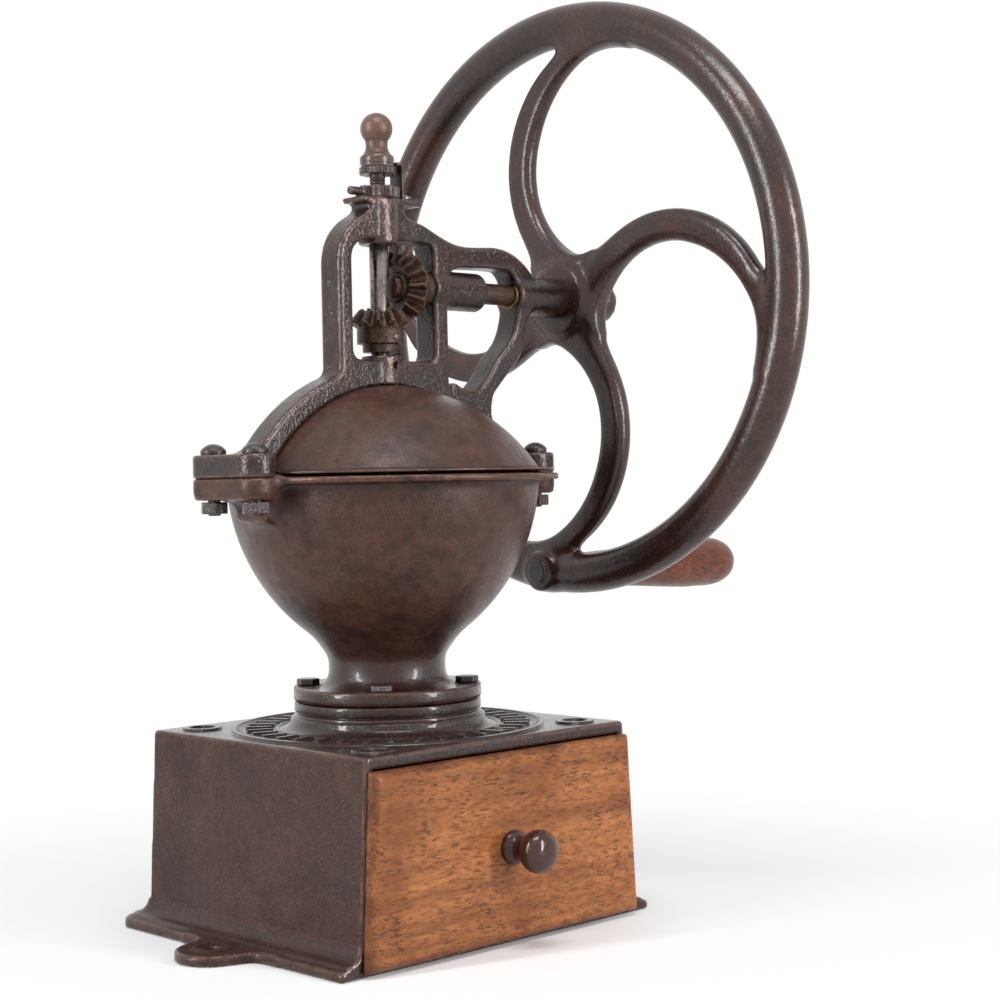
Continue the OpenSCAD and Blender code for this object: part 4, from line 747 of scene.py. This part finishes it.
def bridge_field(x, y, z):
    """Outline and arch given a thickness, minus the windows, plus bosses, head table and lug plates."""
    v = z - SHAFT_Z
    from_dome = np.hypot(x, z - DOME_Z)
    arch = np.maximum(from_dome - ARCH_OUT, RIM_Z + 5 - z)
    plan = smooth_min(bridge_outer(x, v), arch, 5)
    plan = smooth_max(plan, -main_window(x, v), 1.5)
    plan = smooth_max(plan, -ring_window(x, v), 1.5)
    body = slab(plan, y, BRIDGE_HALF, 2.2)
    inner, outer = (rod(x, y, z, (x0, 0, SHAFT_Z), (x1, 0, SHAFT_Z), radius, 1.2)
                    for (x0, x1), radius in [(SHAFT_BOSS_X, SHAFT_BOSS_R), (OUTER_BOSS_X, OUTER_BOSS_R)])
    top, low = (rod(x, y, z, (0, 0, z0), (0, 0, z1), radius, 1)
                for (z0, z1), radius in [(TOP_BOSS_Z, TOP_BOSS_R), (LOW_BOSS_Z, LOW_BOSS_R)])
    body = smooth_min(body, smooth_min(inner, outer, 1), 2)
    body = smooth_min(body, smooth_min(top, low, 1), 0.8)
    plate = np.maximum(np.abs(x - TABLE_X) - TABLE_HALF, np.abs(y) - BRIDGE_HALF)
    table = slab(plate, z - HEAD_Z + TABLE_T / 2, TABLE_T / 2, 0.8)
    body = smooth_min(body, table, 3)
    body = smooth_min(body, lug_field(x, y, z, RIM_Z, LUG_T, 1.6), 7)
    away = np.hypot(x, y)
    body = smooth_max(body, -np.maximum(away - LID_ROOM_R, z - RIM_Z - LID_ROOM_H), 1)
    body = smooth_max(body, -np.maximum(away - SPINDLE_BORE_R, z - 305 + 20 * (z > SHAFT_Z)), 0.5)
    # two oil holes: one in the lower boss's front, one on top of the shaft's boss
    oil_front = np.maximum(np.hypot(x - 2, z - 299.4) - 1.9, y)
    oil_top = np.maximum(np.hypot(x - 55, y) - 1.7, SHAFT_Z + 4 - z)
    body = smooth_max(body, -np.minimum(oil_front, oil_top), 0.8)
    return smooth_max(body, ARCH_IN - np.hypot(from_dome, y), 0.6)

# %% Casting the bridge
bridge = cast("bridge_casting", bridge_field, (-113, -31, RIM_Z - 3), (139, 31, HEAD_Z + 3), 1.15)
x, y, z = points_of(bridge.data).T
rubbed = np.clip((11.6 - np.hypot(x, y)) / 0.6, 0, 1) * np.clip((-8.2 - y) / 0.8, 0, 1)
wear = bridge.data.attributes["wear"].data
wear.foreach_set("value", (read(wear, "value", 1)[:, 0] + 0.2 * rubbed).astype(np.float32))
stands_for(bridge, "frame", "cast_iron_dark", bridge_iron, "bridge_frame")

# %% [markdown]
# ## The hopper
#
# A bowl cast with its neck, its bolted flange and a thin rim flange, with a lug on each side for the
# bridge. A turned profile alone would make the bowl; the field joins the lugs to it with a fairing.

# %% Hopper
BOWL_R, BOWL_IN, BOWL_AT = 107, 103, (-22.8, 241.6)  # the wall's outer and inner arc, and their centre
FLANGE_Z, FLANGE_TOP, FLANGE_R = 120.3, 127.9, 50.6
MOUTH_R, MOUTH_T, NECK_R, NECK_IN, WAIST_Z = 94.6, 3.4, 29, 26.5, 168

def hopper_field(x, y, z):
    """Bowl wall between two arcs turned round the axis, with neck, flanges and lugs blended on."""
    away = np.hypot(x, y)
    arc = np.hypot(away - BOWL_AT[0], z - BOWL_AT[1])
    wall = slab(np.abs(arc - (BOWL_R + BOWL_IN) / 2) - (BOWL_R - BOWL_IN) / 2, z - 194, 46, 0.8)
    neck = slab(np.abs(away - NECK_R) - 2.5, z - 141, 20, 1)
    rim = slab(away - MOUTH_R, z - RIM_Z + MOUTH_T / 2, MOUTH_T / 2, 1.0)
    foot = slab(away - FLANGE_R, z - (FLANGE_Z + FLANGE_TOP) / 2, (FLANGE_TOP - FLANGE_Z) / 2, 1.2)
    outer = smooth_min(smooth_min(wall, neck, 13), rim, 4)
    outer = smooth_min(outer, foot, 9)
    taper = 1.5 - 3.0 * np.clip((z - 226) / 14, 0, 1)
    lugs = smooth_max(lug_field(x, y, z, RIM_Z - LUG_T, LUG_T, 1.6) + np.maximum(taper, 0), 77 - np.abs(x), 2)
    rib = slab(np.maximum(np.abs(y) - 12, np.abs(np.abs(x) - 84) - 6), z - 226, 9, 4)
    outer = smooth_min(outer, smooth_min(lugs, rib, 9), 8)
    inside = np.where(z > WAIST_Z, arc - BOWL_IN, away - NECK_IN)
    return smooth_max(outer, -np.minimum(inside, away - NECK_IN), 1)

hopper = cast("hopper_casting", hopper_field, (-113, -97, FLANGE_Z - 2), (113, 97, RIM_Z + 2), 1.7)
# darker and glossier towards the neck: its oil, and painted shade under the bowl
store(hopper.data, 0.75 * np.clip((166 - points_of(hopper.data)[:, 2]) / 28, 0, 1), "oil_and_shade")
stands_for(hopper, "frame", "cast_iron", bowl_iron, "hopper")

# %% [markdown]
# ## The casing
#
# A box without a floor: thin leaning walls, a top plate, a moulding round the foot and a screw ear on
# each side. A moulding could be swept along the foot, but it would need mitres at the corners. Here
# its section is drawn once, as height against distance from the wall; because that distance is
# itself a field, the moulding turns the back corners by itself.

# %% Sizes of the casing, in mm
PLATE_Z, UNDER_Z, PLATE_HW, PLATE_HD = 105, 98.6, 91.3, 88.2
LEAN, WALL, FOOT_OUT, STEP_H, FOOT_H = 5.8, 5, 12, 5, 14.4
LEAN_COS = 0.998  # a gap along X times this is the distance from a leaning wall
EAR_X, EAR_R, EAR_T, EAR_HOLE_R = 119, 19, 5.6, 3.3
PAD_R, PAD_H = 10, 1  # the raised ring round an ear's hole
BACK_OUT = 3.8  # the moulding stands this much further out at the back
COLLAR_FOOT_R, COLLAR_FOOT_Z, COLLAR_BORE_R = 50.8, 110.6, 38.0
SILL_T, SILL_DEEP = 1.8, 16
LEDGE_X, LEDGE_Z, LEDGE_T, LEDGE_Y, LEDGE_HALF = 70.5, 3.4, 3.2, 3.5, 79.7

COVE = [(8.4 - 8.4 * math.sin(a), 6.9 + 7.5 * (1 - math.cos(a))) for a in np.linspace(0.08, np.pi / 2, 9)]
MOULDING = [(-20, -8), (FOOT_OUT, -8), (FOOT_OUT, STEP_H - 0.8), (FOOT_OUT - 0.8, STEP_H),
            (FOOT_OUT - 3.6, STEP_H + 0.7), *COVE, (-20, FOOT_H + 4)]
moulding = outline(MOULDING, margin=8, cell=0.25)

def beyond_side(x, z, inset=0):
    """Distance outside the casing's leaning side walls, or outside planes that stand `inset` mm within them."""
    return (np.abs(x) - PLATE_HW - LEAN * (PLATE_Z - z) / PLATE_Z + inset) * LEAN_COS

def casing_field(x, y, z):
    """Leaning walls and plate, minus the room for the drawer, plus moulding, ears, collar foot and ledges."""
    side = beyond_side(x, z)
    back = y - PLATE_HD
    wall = corner(side, back, 1.6)
    block = corner(wall, z - PLATE_Z, 1.6)
    around = corner(side, back - BACK_OUT * (z < FOOT_H + 2), 4)
    foot = moulding(np.clip(around, -19, 18), np.clip(z, -7, FOOT_H + 8))
    body = smooth_min(block, foot, 1.2)
    body = corner(body, -PLATE_HD - y, 1.2)
    flare = corner(np.hypot(x, y) - COLLAR_FOOT_R, z - COLLAR_FOOT_Z, 0.5)
    body = smooth_min(body, np.maximum(flare, PLATE_Z - 4 - z), 11)
    hole = np.hypot(np.abs(x) - EAR_X, y)
    plan = smooth_min(hole - EAR_R, np.maximum(side - FOOT_OUT, np.abs(y) - 40), 16)
    ears = slab(np.maximum(plan, 90 - np.abs(x)), z - EAR_T / 2, EAR_T / 2, 1.5)
    raised = slab(hole - PAD_R, z - EAR_T / 2, EAR_T / 2 + PAD_H, 1)
    body = smooth_min(body, smooth_min(ears, raised, 1.5), 2.5)
    body = smooth_max(body, -np.minimum(hole - EAR_HOLE_R, np.maximum(hole - 7, EAR_T - z)), 0.8)
    room = np.maximum(np.maximum(side + WALL, y - PLATE_HD + WALL), z - UNDER_Z)
    body = smooth_max(body, -room, 1)
    sill = np.maximum(np.maximum(side + 1, np.abs(z - SILL_T / 2) - SILL_T / 2),
                      np.abs(y + PLATE_HD - SILL_DEEP / 2) - SILL_DEEP / 2)
    ledge = np.maximum(np.maximum(side + 1, LEDGE_X - np.abs(x)),
                       np.maximum(np.abs(z - LEDGE_Z) - LEDGE_T / 2, np.abs(y - LEDGE_Y) - LEDGE_HALF))
    body = np.minimum(body, np.minimum(sill, ledge))
    body = smooth_max(body, COLLAR_BORE_R - np.hypot(x, y), 0.5)
    return np.maximum(body, -z)

casing = cast("casing_casting", casing_field, (-140, -91, -2), (140, 106, 113), 1.75)
x, y, z = points_of(casing.data).T
oil_and_shade = np.clip((z - PLATE_Z + 1.6) / 1.2, 0, 1) + 0.8 * np.clip(-PLATE_HD + 1.5 - y, 0, 1)
store(casing.data, np.clip(oil_and_shade + 0.35 * np.clip((FOOT_H + 2 - z) / 6, 0, 1), 0, 1), "oil_and_shade")
stands_for(casing, "frame", "cast_iron", casing_iron, "base_casing")

# %% [markdown]
# ## The ornament on the plate
#
# Raised rings and ribs run round the collar, and a ring stands in each corner. They are under two
# millimetres high, too fine for the casing's grid, so they are height maps laid on the plate: the
# height is a function of radius and angle, and the border dips just below the plate.

# %% Ornament
RIBS, SUNK = 36, 0.35
RINGS = [(83.0, 2.4, 1.3), (79.5, 1.4, 0.9), (60.0, 1.5, 0.9)]  # radius, width and height
RIB_AT, RIB_REACH, RIB_HALF = 69.6, 7.6, 2.1

def ridge(r, middle, width, height, soft=0.7):
    """A flat-topped ridge at one radius: height falls to nothing over `soft` mm on either side."""
    return height * np.clip((width / 2 + soft - np.abs(r - middle)) / soft, 0, 1)

def eased(t):
    """Softens a ramp from 0 to 1 at both ends."""
    return t * t * (3 - 2 * t)

def ornament_height(r, a):
    """Three rings, and between them ribs that fade at both ends."""
    rings = sum(ridge(r, *ring) for ring in RINGS)
    turn = (a / (2 * np.pi) * RIBS + 0.5) % 1 - 0.5
    across = np.abs(turn) * 2 * np.pi * r / RIBS
    rib = np.clip((RIB_HALF - across) / 0.9, 0, 1) * np.clip(RIB_REACH - np.abs(r - RIB_AT), 0, 1)
    return eased(np.clip(rings / 1.3, 0, 1)) * 1.7 + 1.8 * eased(rib)

def relief(name, centre, r0, r1, rows, columns, height):
    """A ring-shaped height map: (r, angle) to z = plate + height, just below the plate where it is nothing."""
    r = np.linspace(r0, r1, rows)[:, None]
    a = np.linspace(0, 2 * np.pi, columns, endpoint=False)[None]
    h = np.broadcast_to(height(r, a) - SUNK, (rows, columns))
    points = np.stack([centre[0] + r * np.cos(a), centre[1] + r * np.sin(a), PLATE_Z + h], -1).reshape(-1, 3)
    return surface(name, points * MM, grid_faces(rows, columns, wrap_columns=True))

def corner_ring_height(r, a):
    """One flat ring round a low middle."""
    return ridge(r, 8.75, 3.2, 1.4, 0.8)

ornament = relief("plate_ornament", (0, 0), 57.5, 85.2, 60, 1080, ornament_height)
rings = [relief(f"corner_ring_{i}", (sx * 71.8, sy * 70.7), 5.4, 12.2, 24, 96, corner_ring_height)
         for i, (sx, sy) in enumerate([(-1, -1), (1, -1), (-1, 1), (1, 1)])]
for piece in [ornament, *rings]:
    store(piece.data, mesh_wear(piece.data) * 1.5)
    store(piece.data, np.ones(len(piece.data.vertices)), "oil_and_shade")
    stands_for(piece, "frame", "cast_iron", casing_iron, "base_casing")
print("ornament faces:", len(ornament.data.polygons))

# %% [markdown]
# ## The collar
#
# The burr housing shows as a stack of low tiers between the plate and the hopper's flange. It is
# turned, so its profile is carried round the spindle's axis, grooves included. It could be a field
# like the casing, but the grooves are finer than that grid.

# %% Collar
COLLAR = [(30.2, 88), (37.5, 88), (37.5, 110.4), (50.2, 110.6), (50.4, 111.2), (50.4, 113.4),
          (49.2, 113.9), (49.2, 114.5), (50.4, 115.0), (50.4, 119.0), (49.8, 119.9), (27, 120.2),
          (27, 118), (30.2, 117), (30.2, 88)]
collar = turned("collar_turned", rounded(COLLAR, 0.45, 3), 160)
store(collar.data, np.ones(len(collar.data.vertices)), "oil_and_shade")
stands_for(collar, "frame", "cast_iron_dark", casing_iron, "burr_housing")

# %% [markdown]
# ## The lid
#
# Two halves of a thin spun dome with an out-turned flange. The rear half is fixed; the front half
# turns back over it about the spindle. Each is a sheet: a middle surface over a grid of profile and
# angle, moved half a thickness to either side and closed round its border. A Solidify modifier could
# thicken it too; here its thickness is one line of numpy, and there is no modifier to keep.

# %% Sheets
def sheet_metal(name, middle, thick):
    """A (rows, columns, 3) middle surface in mm, thickened along its normals and closed at its four sides."""
    du = np.gradient(middle, axis=0)
    dv = np.gradient(middle, axis=1)
    normal = np.cross(du, dv)
    normal /= np.maximum(np.linalg.norm(normal, axis=2, keepdims=True), 1e-9)
    rows, columns = middle.shape[:2]
    both = np.concatenate([(middle + side * normal * thick / 2).reshape(-1, 3) for side in (1, -1)])
    top = grid_faces(rows, columns)
    number = np.arange(rows * columns).reshape(rows, columns)
    border = np.concatenate([number[:, 0], number[-1, 1:], number[-2::-1, -1], number[0, -2:0:-1]])
    after = np.roll(border, -1)
    low = rows * columns
    side = np.stack([border, after, after + low, border + low], 1)
    obj = surface(name, both * MM, np.concatenate([top, top[:, ::-1] + low, side]))
    tidy(obj)
    return obj

EYE_R, COLLAR_R, LID_RIM_R = 6.6, 13.5, 92.6

def half_dome(radius, flange_z, thick, lap):
    """Dome arc from the spindle's eye down to the flange, then the flange, swept over half a turn and `lap` mm
    more at each end; close to the eye it closes right round the spindle."""
    start = math.acos(EYE_R / radius)
    end = math.asin((flange_z + thick / 2 - DOME_Z) / radius)
    near_eye = np.linspace(start, start - 0.10, 8)[:-1]
    angle = np.concatenate([near_eye, np.linspace(start - 0.10, end + 0.015, 60)])
    r, z = radius * np.cos(angle), DOME_Z + radius * np.sin(angle)
    foot = radius * math.cos(end)
    r = np.concatenate([r, np.linspace(foot + 0.8, LID_RIM_R, 7)])
    z = np.concatenate([z, np.full(7, flange_z + thick / 2)])
    half = np.pi / 2 + np.arcsin(np.clip(lap / r, 0, 1))
    half = np.where(r < COLLAR_R, np.pi - 0.001, half)
    share = np.linspace(-1, 1, 121)[None]
    a = -np.pi / 2 + half[:, None] * share
    return np.stack([r[:, None] * np.cos(a), r[:, None] * np.sin(a), np.broadcast_to(z[:, None], a.shape)], -1)

# %% Lids
LID_T, LID_GAP, LID_LAP, DOME_R = 1.2, 0.4, 3, 99.97
HALF_TURN = np.array([-1, -1, 1])
front = half_dome(DOME_R - LID_T / 2, RIM_Z + LID_T + LID_GAP, LID_T, LID_LAP)
rear = half_dome(DOME_R - 1.5 * LID_T - LID_GAP, RIM_Z, LID_T, LID_LAP) * HALF_TURN
front_lid = sheet_metal("lid_front_sheet", front, LID_T)
rear_lid = sheet_metal("lid_rear_sheet", rear, LID_T)
stands_for(front_lid, "lid", "cast_iron", bowl_iron, "lid_front")
stands_for(rear_lid, "frame", "cast_iron", bowl_iron, "lid_rear")

# %% [markdown]
# ## Turned parts: ball, drawer knob and grip
#
# The ball on the adjusting screw, the drawer's knob and the wheel's grip were all shaped on a lathe,
# so each is a profile carried round its own axis and laid where it belongs. Spheres and cylinders
# could be stacked instead, but a lathe's curves run into one another without a seam.

# %% Ball knob
LATHE = 72
BALL_R, BALL_Z, BALL_FOOT_Z = 8.7, 427.3, 415
ROUND = [(BALL_R * math.sin(a), BALL_Z + BALL_R * math.cos(a)) for a in np.linspace(0.12, 2.35, 22)]
BALL = [(0, 436.0), *ROUND, (6.0, 419.4), (5.9, 417.4), (6.4, 415.2), (7.6, 413.4), (8.9, 412.4), (9.3, 411.4),
        (9.3, 408.6), (8.7, 407.7), (9.0, 407.3), (8.3, 406.6), (4.5, 406.5), (0, 406.5)]
ball = turned("adjuster_ball", BALL, LATHE)
# darker and glossier below the ball's foot
store(ball.data, np.clip((BALL_FOOT_Z - points_of(ball.data)[:, 2]) / 5, 0, 1), "oil_and_shade")
stands_for(ball, "adjuster", "cast_iron_worn", knob_iron, "adjuster_knob")

# %% Drawer knob
KNOB_Z, KNOB_Y = 50.2, -94.5

def out_of_drawer(points):
    """Turns +Z to -Y and moves the knob to the middle of the drawer's front."""
    return np.stack([points[:, 0], KNOB_Y - points[:, 2], KNOB_Z + points[:, 1]], 1)

KNOB = [(0, -0.4), (8.6, -0.4), (8.8, 0.6), (8.7, 2.2), (7.9, 3.4), (6.4, 4.4), (5.7, 6.2), (5.6, 8.2),
        (6.2, 10.2), (7.6, 11.8), (9.3, 13.2), (10.5, 15.2), (11.0, 17.6), (10.9, 19.8), (10.1, 22.0),
        (8.5, 24.0), (6.1, 25.3), (3.2, 25.9), (0, 26.0)]
knob = turned("drawer_knob_turned", rounded(KNOB, 1.2), LATHE, out_of_drawer)
stands_for(knob, "drawer", "turned_wood", knob_wood, "drawer_knob")

# %% Grip
GRIP_X, GRIP_LEN, GRIP_R = 160.4, 148, 15.5

def on_handle(points):
    """Turns +Z to +X and moves the grip onto its bolt."""
    return np.stack([points[:, 2], HANDLE_Y + points[:, 0], HANDLE_Z + points[:, 1]], 1)

# u runs from 0 at the wheel to 1 at the end: the body swells up to 0.72, and its nose starts at 0.86
BELLY, NOSE, GRIP_BORE, GRIP_END = 0.72, 0.86, 4.2, GRIP_X + GRIP_LEN
u = np.concatenate([np.linspace(0, NOSE, 40), NOSE + (1 - NOSE) * np.sin(np.linspace(0.05, np.pi / 2, 22))])
swell = np.minimum(1, u / BELLY)
body_r = 0.66 + 0.34 * np.sin(np.pi / 2 * swell) * swell
nose = np.sqrt(np.clip(1 - (np.clip(u - NOSE, 0, 1) / (1 - NOSE)) ** 2, 0, 1))
root = 1 - 0.18 * np.clip(1 - u / 0.05, 0, 1) ** 2
grip_r = np.maximum(6, GRIP_R * body_r * root * (0.42 + 0.58 * nose))
GRIP = [(GRIP_BORE, GRIP_X + 1), (GRIP_BORE, GRIP_X), *zip(grip_r, GRIP_X + GRIP_LEN * u), (5.6, GRIP_END),
        (5.3, GRIP_END - 2.4), (GRIP_BORE, GRIP_END - 2.5), (GRIP_BORE, GRIP_X + 1)]
grip = turned("handle_grip_turned", GRIP, LATHE, on_handle)
stands_for(grip, "grip", "turned_wood", grip_wood, "handle_grip")

# %% [markdown]
# ## The drawer's front
#
# A board 14 mm thick that covers the casing's open side. Its sides lean with the casing, and its front
# edges are rounded over by a plane and by years of hands. A bevelled box would do, but its corners
# would come out alike on both sides. The board is a small field too: the plan is a trapezium, and
# only its front edge takes the round. Its border keeps dirt, and the wood round the knob gets a painted
# shadow of the knob with some grime, so each point also stores how near it is to either.

# %% Drawer front
FRONT_Y, BOARD_Y, BOARD_Z0, BOARD_Z1 = -94.5, -88.5, 2.1, 98.3
BOARD_EDGE, BOARD_INSET, SHADOW_AND_GRIME_AT = 5.2, 0.8, (-4, 49)
TONGUE_HALF, TONGUE_Z, TONGUE_RISE, TONGUE_Y = 82.8, 46.3, 41, -80.5

def board_plan(x, z):
    """Distance inside the leaning trapezium of the drawer's front."""
    ends = np.abs(z - (BOARD_Z0 + BOARD_Z1) / 2) - (BOARD_Z1 - BOARD_Z0) / 2
    return np.maximum(beyond_side(x, z, BOARD_INSET), ends)

def board_field(x, y, z):
    """The plan with a rounded front edge, a little hollow from wear, and the tongue behind."""
    plan = smooth_max(board_plan(x, z), board_plan(x, z) - 0.5, 1)
    sag = 0.25 * np.cos(x / 60) * np.cos((z - 50) / 34)
    front = corner(plan, FRONT_Y + sag * 0.4 - y, BOARD_EDGE)
    board = np.maximum(front, y - BOARD_Y)
    tongue = np.maximum(np.maximum(np.abs(x) - TONGUE_HALF, np.abs(z - TONGUE_Z) - TONGUE_RISE),
                        np.maximum(BOARD_Y - 1 - y, y - TONGUE_Y))
    return np.minimum(board, tongue)

board = cast("drawer_front_board", board_field, (-100, -98, 0), (100, -78, 101), 1.2)
x, y, z = points_of(board.data).T
rim = np.clip(1 + board_plan(x, z) / 9, 0, 1)
# a painted shadow of the knob, with some grime, darkens the wood round it
knob_shadow_and_grime = 0.5 * np.clip(1 - np.hypot(x - SHADOW_AND_GRIME_AT[0], z - SHADOW_AND_GRIME_AT[1]) / 17, 0, 1)
store(board.data, rim + knob_shadow_and_grime, "border")
stands_for(board, "drawer", "drawer_wood", board_wood, "drawer_front")

# %% [markdown]
# ## Spindle and drive shaft
#
# The spindle and the drive shaft are ground bars with broken ends. Copies of their CAD solids would
# be as true, but those are long thin triangles, which shade unevenly under a narrow lamp. As lathe
# profiles both get an even skin, and their wear follows the ends.

# %% Spindle and drive shaft
def on_shaft(points):
    """Turns +Z to +X at the drive shaft's height."""
    return np.stack([points[:, 2], points[:, 0], SHAFT_Z + points[:, 1]], 1)

BAR_SIDES, SPINDLE_R, SHAFT_R = 64, 5.2, 6
SPINDLE = [(0, 83), (4.6, 83), (SPINDLE_R, 83.6), (SPINDLE_R, 376.8), (4.6, 377.4), (0, 377.4)]
SHAFT = [(0, 7.8), (5.4, 7.8), (SHAFT_R, 8.4), (SHAFT_R, 179.4), (5.2, 180.5), (0, 180.5)]
spindle = turned("spindle_turned", SPINDLE, BAR_SIDES)
stands_for(spindle, "spindle", "steel", spindle_steel, "spindle")
shaft = turned("drive_shaft_turned", SHAFT, BAR_SIDES, on_shaft)
stands_for(shaft, "drive", "steel", shaft_iron, "drive_shaft")

# %% [markdown]
# ## The lock nut
#
# A small casting under the index ring, with eight soft lobes for the fingers and a short lever. It
# holds the screw where the ball has set it. Its lobes stand too close for a bevel to round them, so
# it is a field too: one lobe repeated round the axis, with the lever flowing into the nut.

# %% Lock nut
LOBES, LOBE_AT, LOBE_R, NUT_HALF, NUT_BORE_R = 8, 8.8, 3.2, 3.3, 4.9

def lock_nut_field(x, y, z):
    """Eight soft lobes, a bore for the screw, and a lever with a round end."""
    pitch = 2 * np.pi / LOBES
    angle = ((np.arctan2(y, x) / pitch + 0.5) % 1 - 0.5) * pitch
    radius = np.hypot(x, y)
    middle = HEAD_Z + NUT_HALF
    lobe = np.hypot(radius * np.cos(angle) - LOBE_AT, radius * np.sin(angle)) - LOBE_R
    nut = slab(smooth_min(lobe, radius - 9, 2.4), z - middle, NUT_HALF, 1.1)
    lever = rod(x, y, z, (-20.2, 0, middle), (-9, 0, middle), 2.3, 1.2)
    return smooth_max(smooth_min(nut, lever, 1.2), NUT_BORE_R - radius, 0.4)

nut = cast("lock_nut_casting", lock_nut_field, (-22, -14, HEAD_Z - 1.5), (14, 14, HEAD_Z + 8), 0.5)
stands_for(nut, "frame", "cast_iron_dark", bolt_iron, "lock_nut")

# %% [markdown]
# ## Small parts
#
# Bolts, nuts, gears, bushes and the drawer's box are plain in shape, so copies of their CAD solids
# are enough. Machined and sawn parts get a narrow bevel on their sharp edges. Cast and forged ones
# are poured anew: rebuilt on a fine grid and eased, since a bevel as wide as a casting's round would
# run into itself between the teeth. The thrust ball and the lift spring are shown as they are.

# %% Small parts of each body
small_parts("frame", "cast_iron_dark", bolt_iron, poured, 0.45, "flange_bolts", "bridge_nuts", "bridge_bolts")
small_parts("frame", "cast_iron_dark", bolt_iron, broken_edges, 0.35, "index_spring", "lower_bridge")
small_parts("frame", "steel", spindle_steel, broken_edges, 0.3, "lower_bridge_screws", "index_spring_screw")
small_parts("frame", "bronze", bush_bronze, broken_edges, 0.3, "lower_bush", "spindle_bush", "top_bush",
            "shaft_bush_inner", "shaft_bush_outer")
small_parts("frame", "tool_steel", burr_steel, broken_edges, 0.3, "burr_ring")
small_parts("spindle", "tool_steel", burr_steel, broken_edges, 0.3, "burr_cone", "auger")
small_parts("spindle", "steel", spindle_steel, broken_edges, 0.4, "pinion_pin")
small_parts("spindle", "gear_iron", gear_iron, poured, 0.4, "pinion")
small_parts("drive", "gear_iron", gear_iron, poured, 0.4, "bevel_gear")
small_parts("drive", "steel", spindle_steel, broken_edges, 0.4, "gear_pin", "flywheel_pin")
small_parts("drive", "cast_iron_dark", bolt_iron, poured, 0.6, "handle_bolt")
small_parts("drive", "cast_iron_dark", bolt_iron, broken_edges, 0.3, "grip_washer")
small_parts("adjuster", "steel", bolt_iron, poured, 0.32, "index_ring", "adjusting_screw")
small_parts("drawer", "drawer_wood", side_wood, broken_edges, 0.5, "drawer_side_left", "drawer_side_right")
small_parts("drawer", "drawer_wood", inner_wood, broken_edges, 0.5, "drawer_back", "drawer_bottom")
small_parts("drawer", "steel", spindle_steel, broken_edges, 0.3, "drawer_knob_screw")
for node in ("thrust_ball", "lift_spring"):
    NODES[node].data.materials.clear()
    NODES[node].data.materials.append(spindle_steel)

# %% [markdown]
# ## The studio
#
# A dark object against white. A tall narrow lamp on the left and another in front draw long
# highlights down the wheel's rim, the uprights and the spindle, a dim one above opens the plate and
# the lid, and the world is an even fill. The background is white because camera, glossy and
# transmission rays see it so; a brighter world would do it too, but it would wash the iron out.

# %% World and lamps
WHITE = (1, 1, 1, 1)

def shows_background(tree):
    """1 for the rays that see the white background as such: camera, glossy and transmission rays."""
    ray = add(tree, "LightPath").outputs
    return plus(tree, plus(tree, ray["Is Camera Ray"], ray["Is Glossy Ray"]), ray["Is Transmission Ray"])

world = bpy.data.worlds.new("studio")
bpy.context.scene.world = world
world.use_nodes = True
sky = world.node_tree
fill = sky.nodes["Background"]
feed(sky, fill, {"Color": WHITE, "Strength": 0.26})
white = add(sky, "Background", {"Color": WHITE, "Strength": 1.0})
both = add(sky, "MixShader", {0: shows_background(sky), 1: fill.outputs[0], 2: white.outputs[0]})
sky.links.new(both.outputs[0], sky.nodes["World Output"].inputs[0])

def softbox(name, at, target, size, power):
    """A rectangular lamp that faces its target."""
    data = bpy.data.lights.new(name, "AREA")
    data.shape, data.size, data.size_y, data.energy = "RECTANGLE", size[0], size[1], power
    lamp = bpy.data.objects.new(name, data)
    lamp.location = at
    lamp.rotation_euler = (Vector(target) - Vector(at)).to_track_quat("-Z", "Y").to_euler()
    bpy.context.scene.collection.objects.link(lamp)
    print(name, power, "W")

softbox("left_box", at=(-1.5, 0.3, 0.7), target=(0, 0, 0.25), size=(0.16, 1.3), power=22)
softbox("front_box", at=(0.45, -1.62, 0.55), target=(0, 0, 0.25), size=(0.2, 1.3), power=25)
softbox("top_box", at=(-0.3, -0.5, 1.7), target=(0, 0, 0.2), size=(0.8, 0.3), power=12)
bpy.context.scene.view_settings.view_transform = "Standard"

# %% [markdown]
# ## The floor
#
# A sheet of white paper. Near the mill it is a real surface and takes the shadow; further out it
# fades into the white background, so that no horizon shows. It could end in a curved sweep, as
# paper in a studio does, but that would have to stand behind the mill for one view only.

# %% Floor
def paper(name):
    """White paper that keeps the shadow near the mill and fades out in two smooth ramps: 0.6 of it between
    10 and 17 cm from the middle, and the rest by 50 cm."""
    material, tree, sheet = new_material(name)
    feed(tree, sheet, {"Base Color": (0.86, 0.86, 0.87, 1), "Roughness": 0.9, "Specular IOR Level": 0.2})
    away = add(tree, "VectorMath", {0: place_in(tree)}, operation="LENGTH").outputs["Value"]
    near, far = (add(tree, "MapRange", {0: away, 1: start, 2: end, 4: share}, interpolation_type="SMOOTHSTEP")
                 for start, end, share in [(0.10, 0.17, 0.6), (0.16, 0.50, 0.4)])
    fade = plus(tree, near.outputs[0], far.outputs[0])
    glow = add(tree, "Emission", {"Color": WHITE, "Strength": 1.0})
    mix = add(tree, "MixShader", {0: times(tree, fade, shows_background(tree)), 1: sheet.outputs[0],
                                  2: glow.outputs[0]})
    tree.links.new(mix.outputs[0], tree.nodes["Material Output"].inputs[0])
    return material

EDGE = 3  # metres
CORNERS = [(-EDGE, -EDGE, 0), (EDGE, -EDGE, 0), (EDGE, EDGE, 0), (-EDGE, EDGE, 0)]
floor = surface("floor", CORNERS, [(0, 1, 2, 3)])
floor.data.materials.append(paper("paper"))
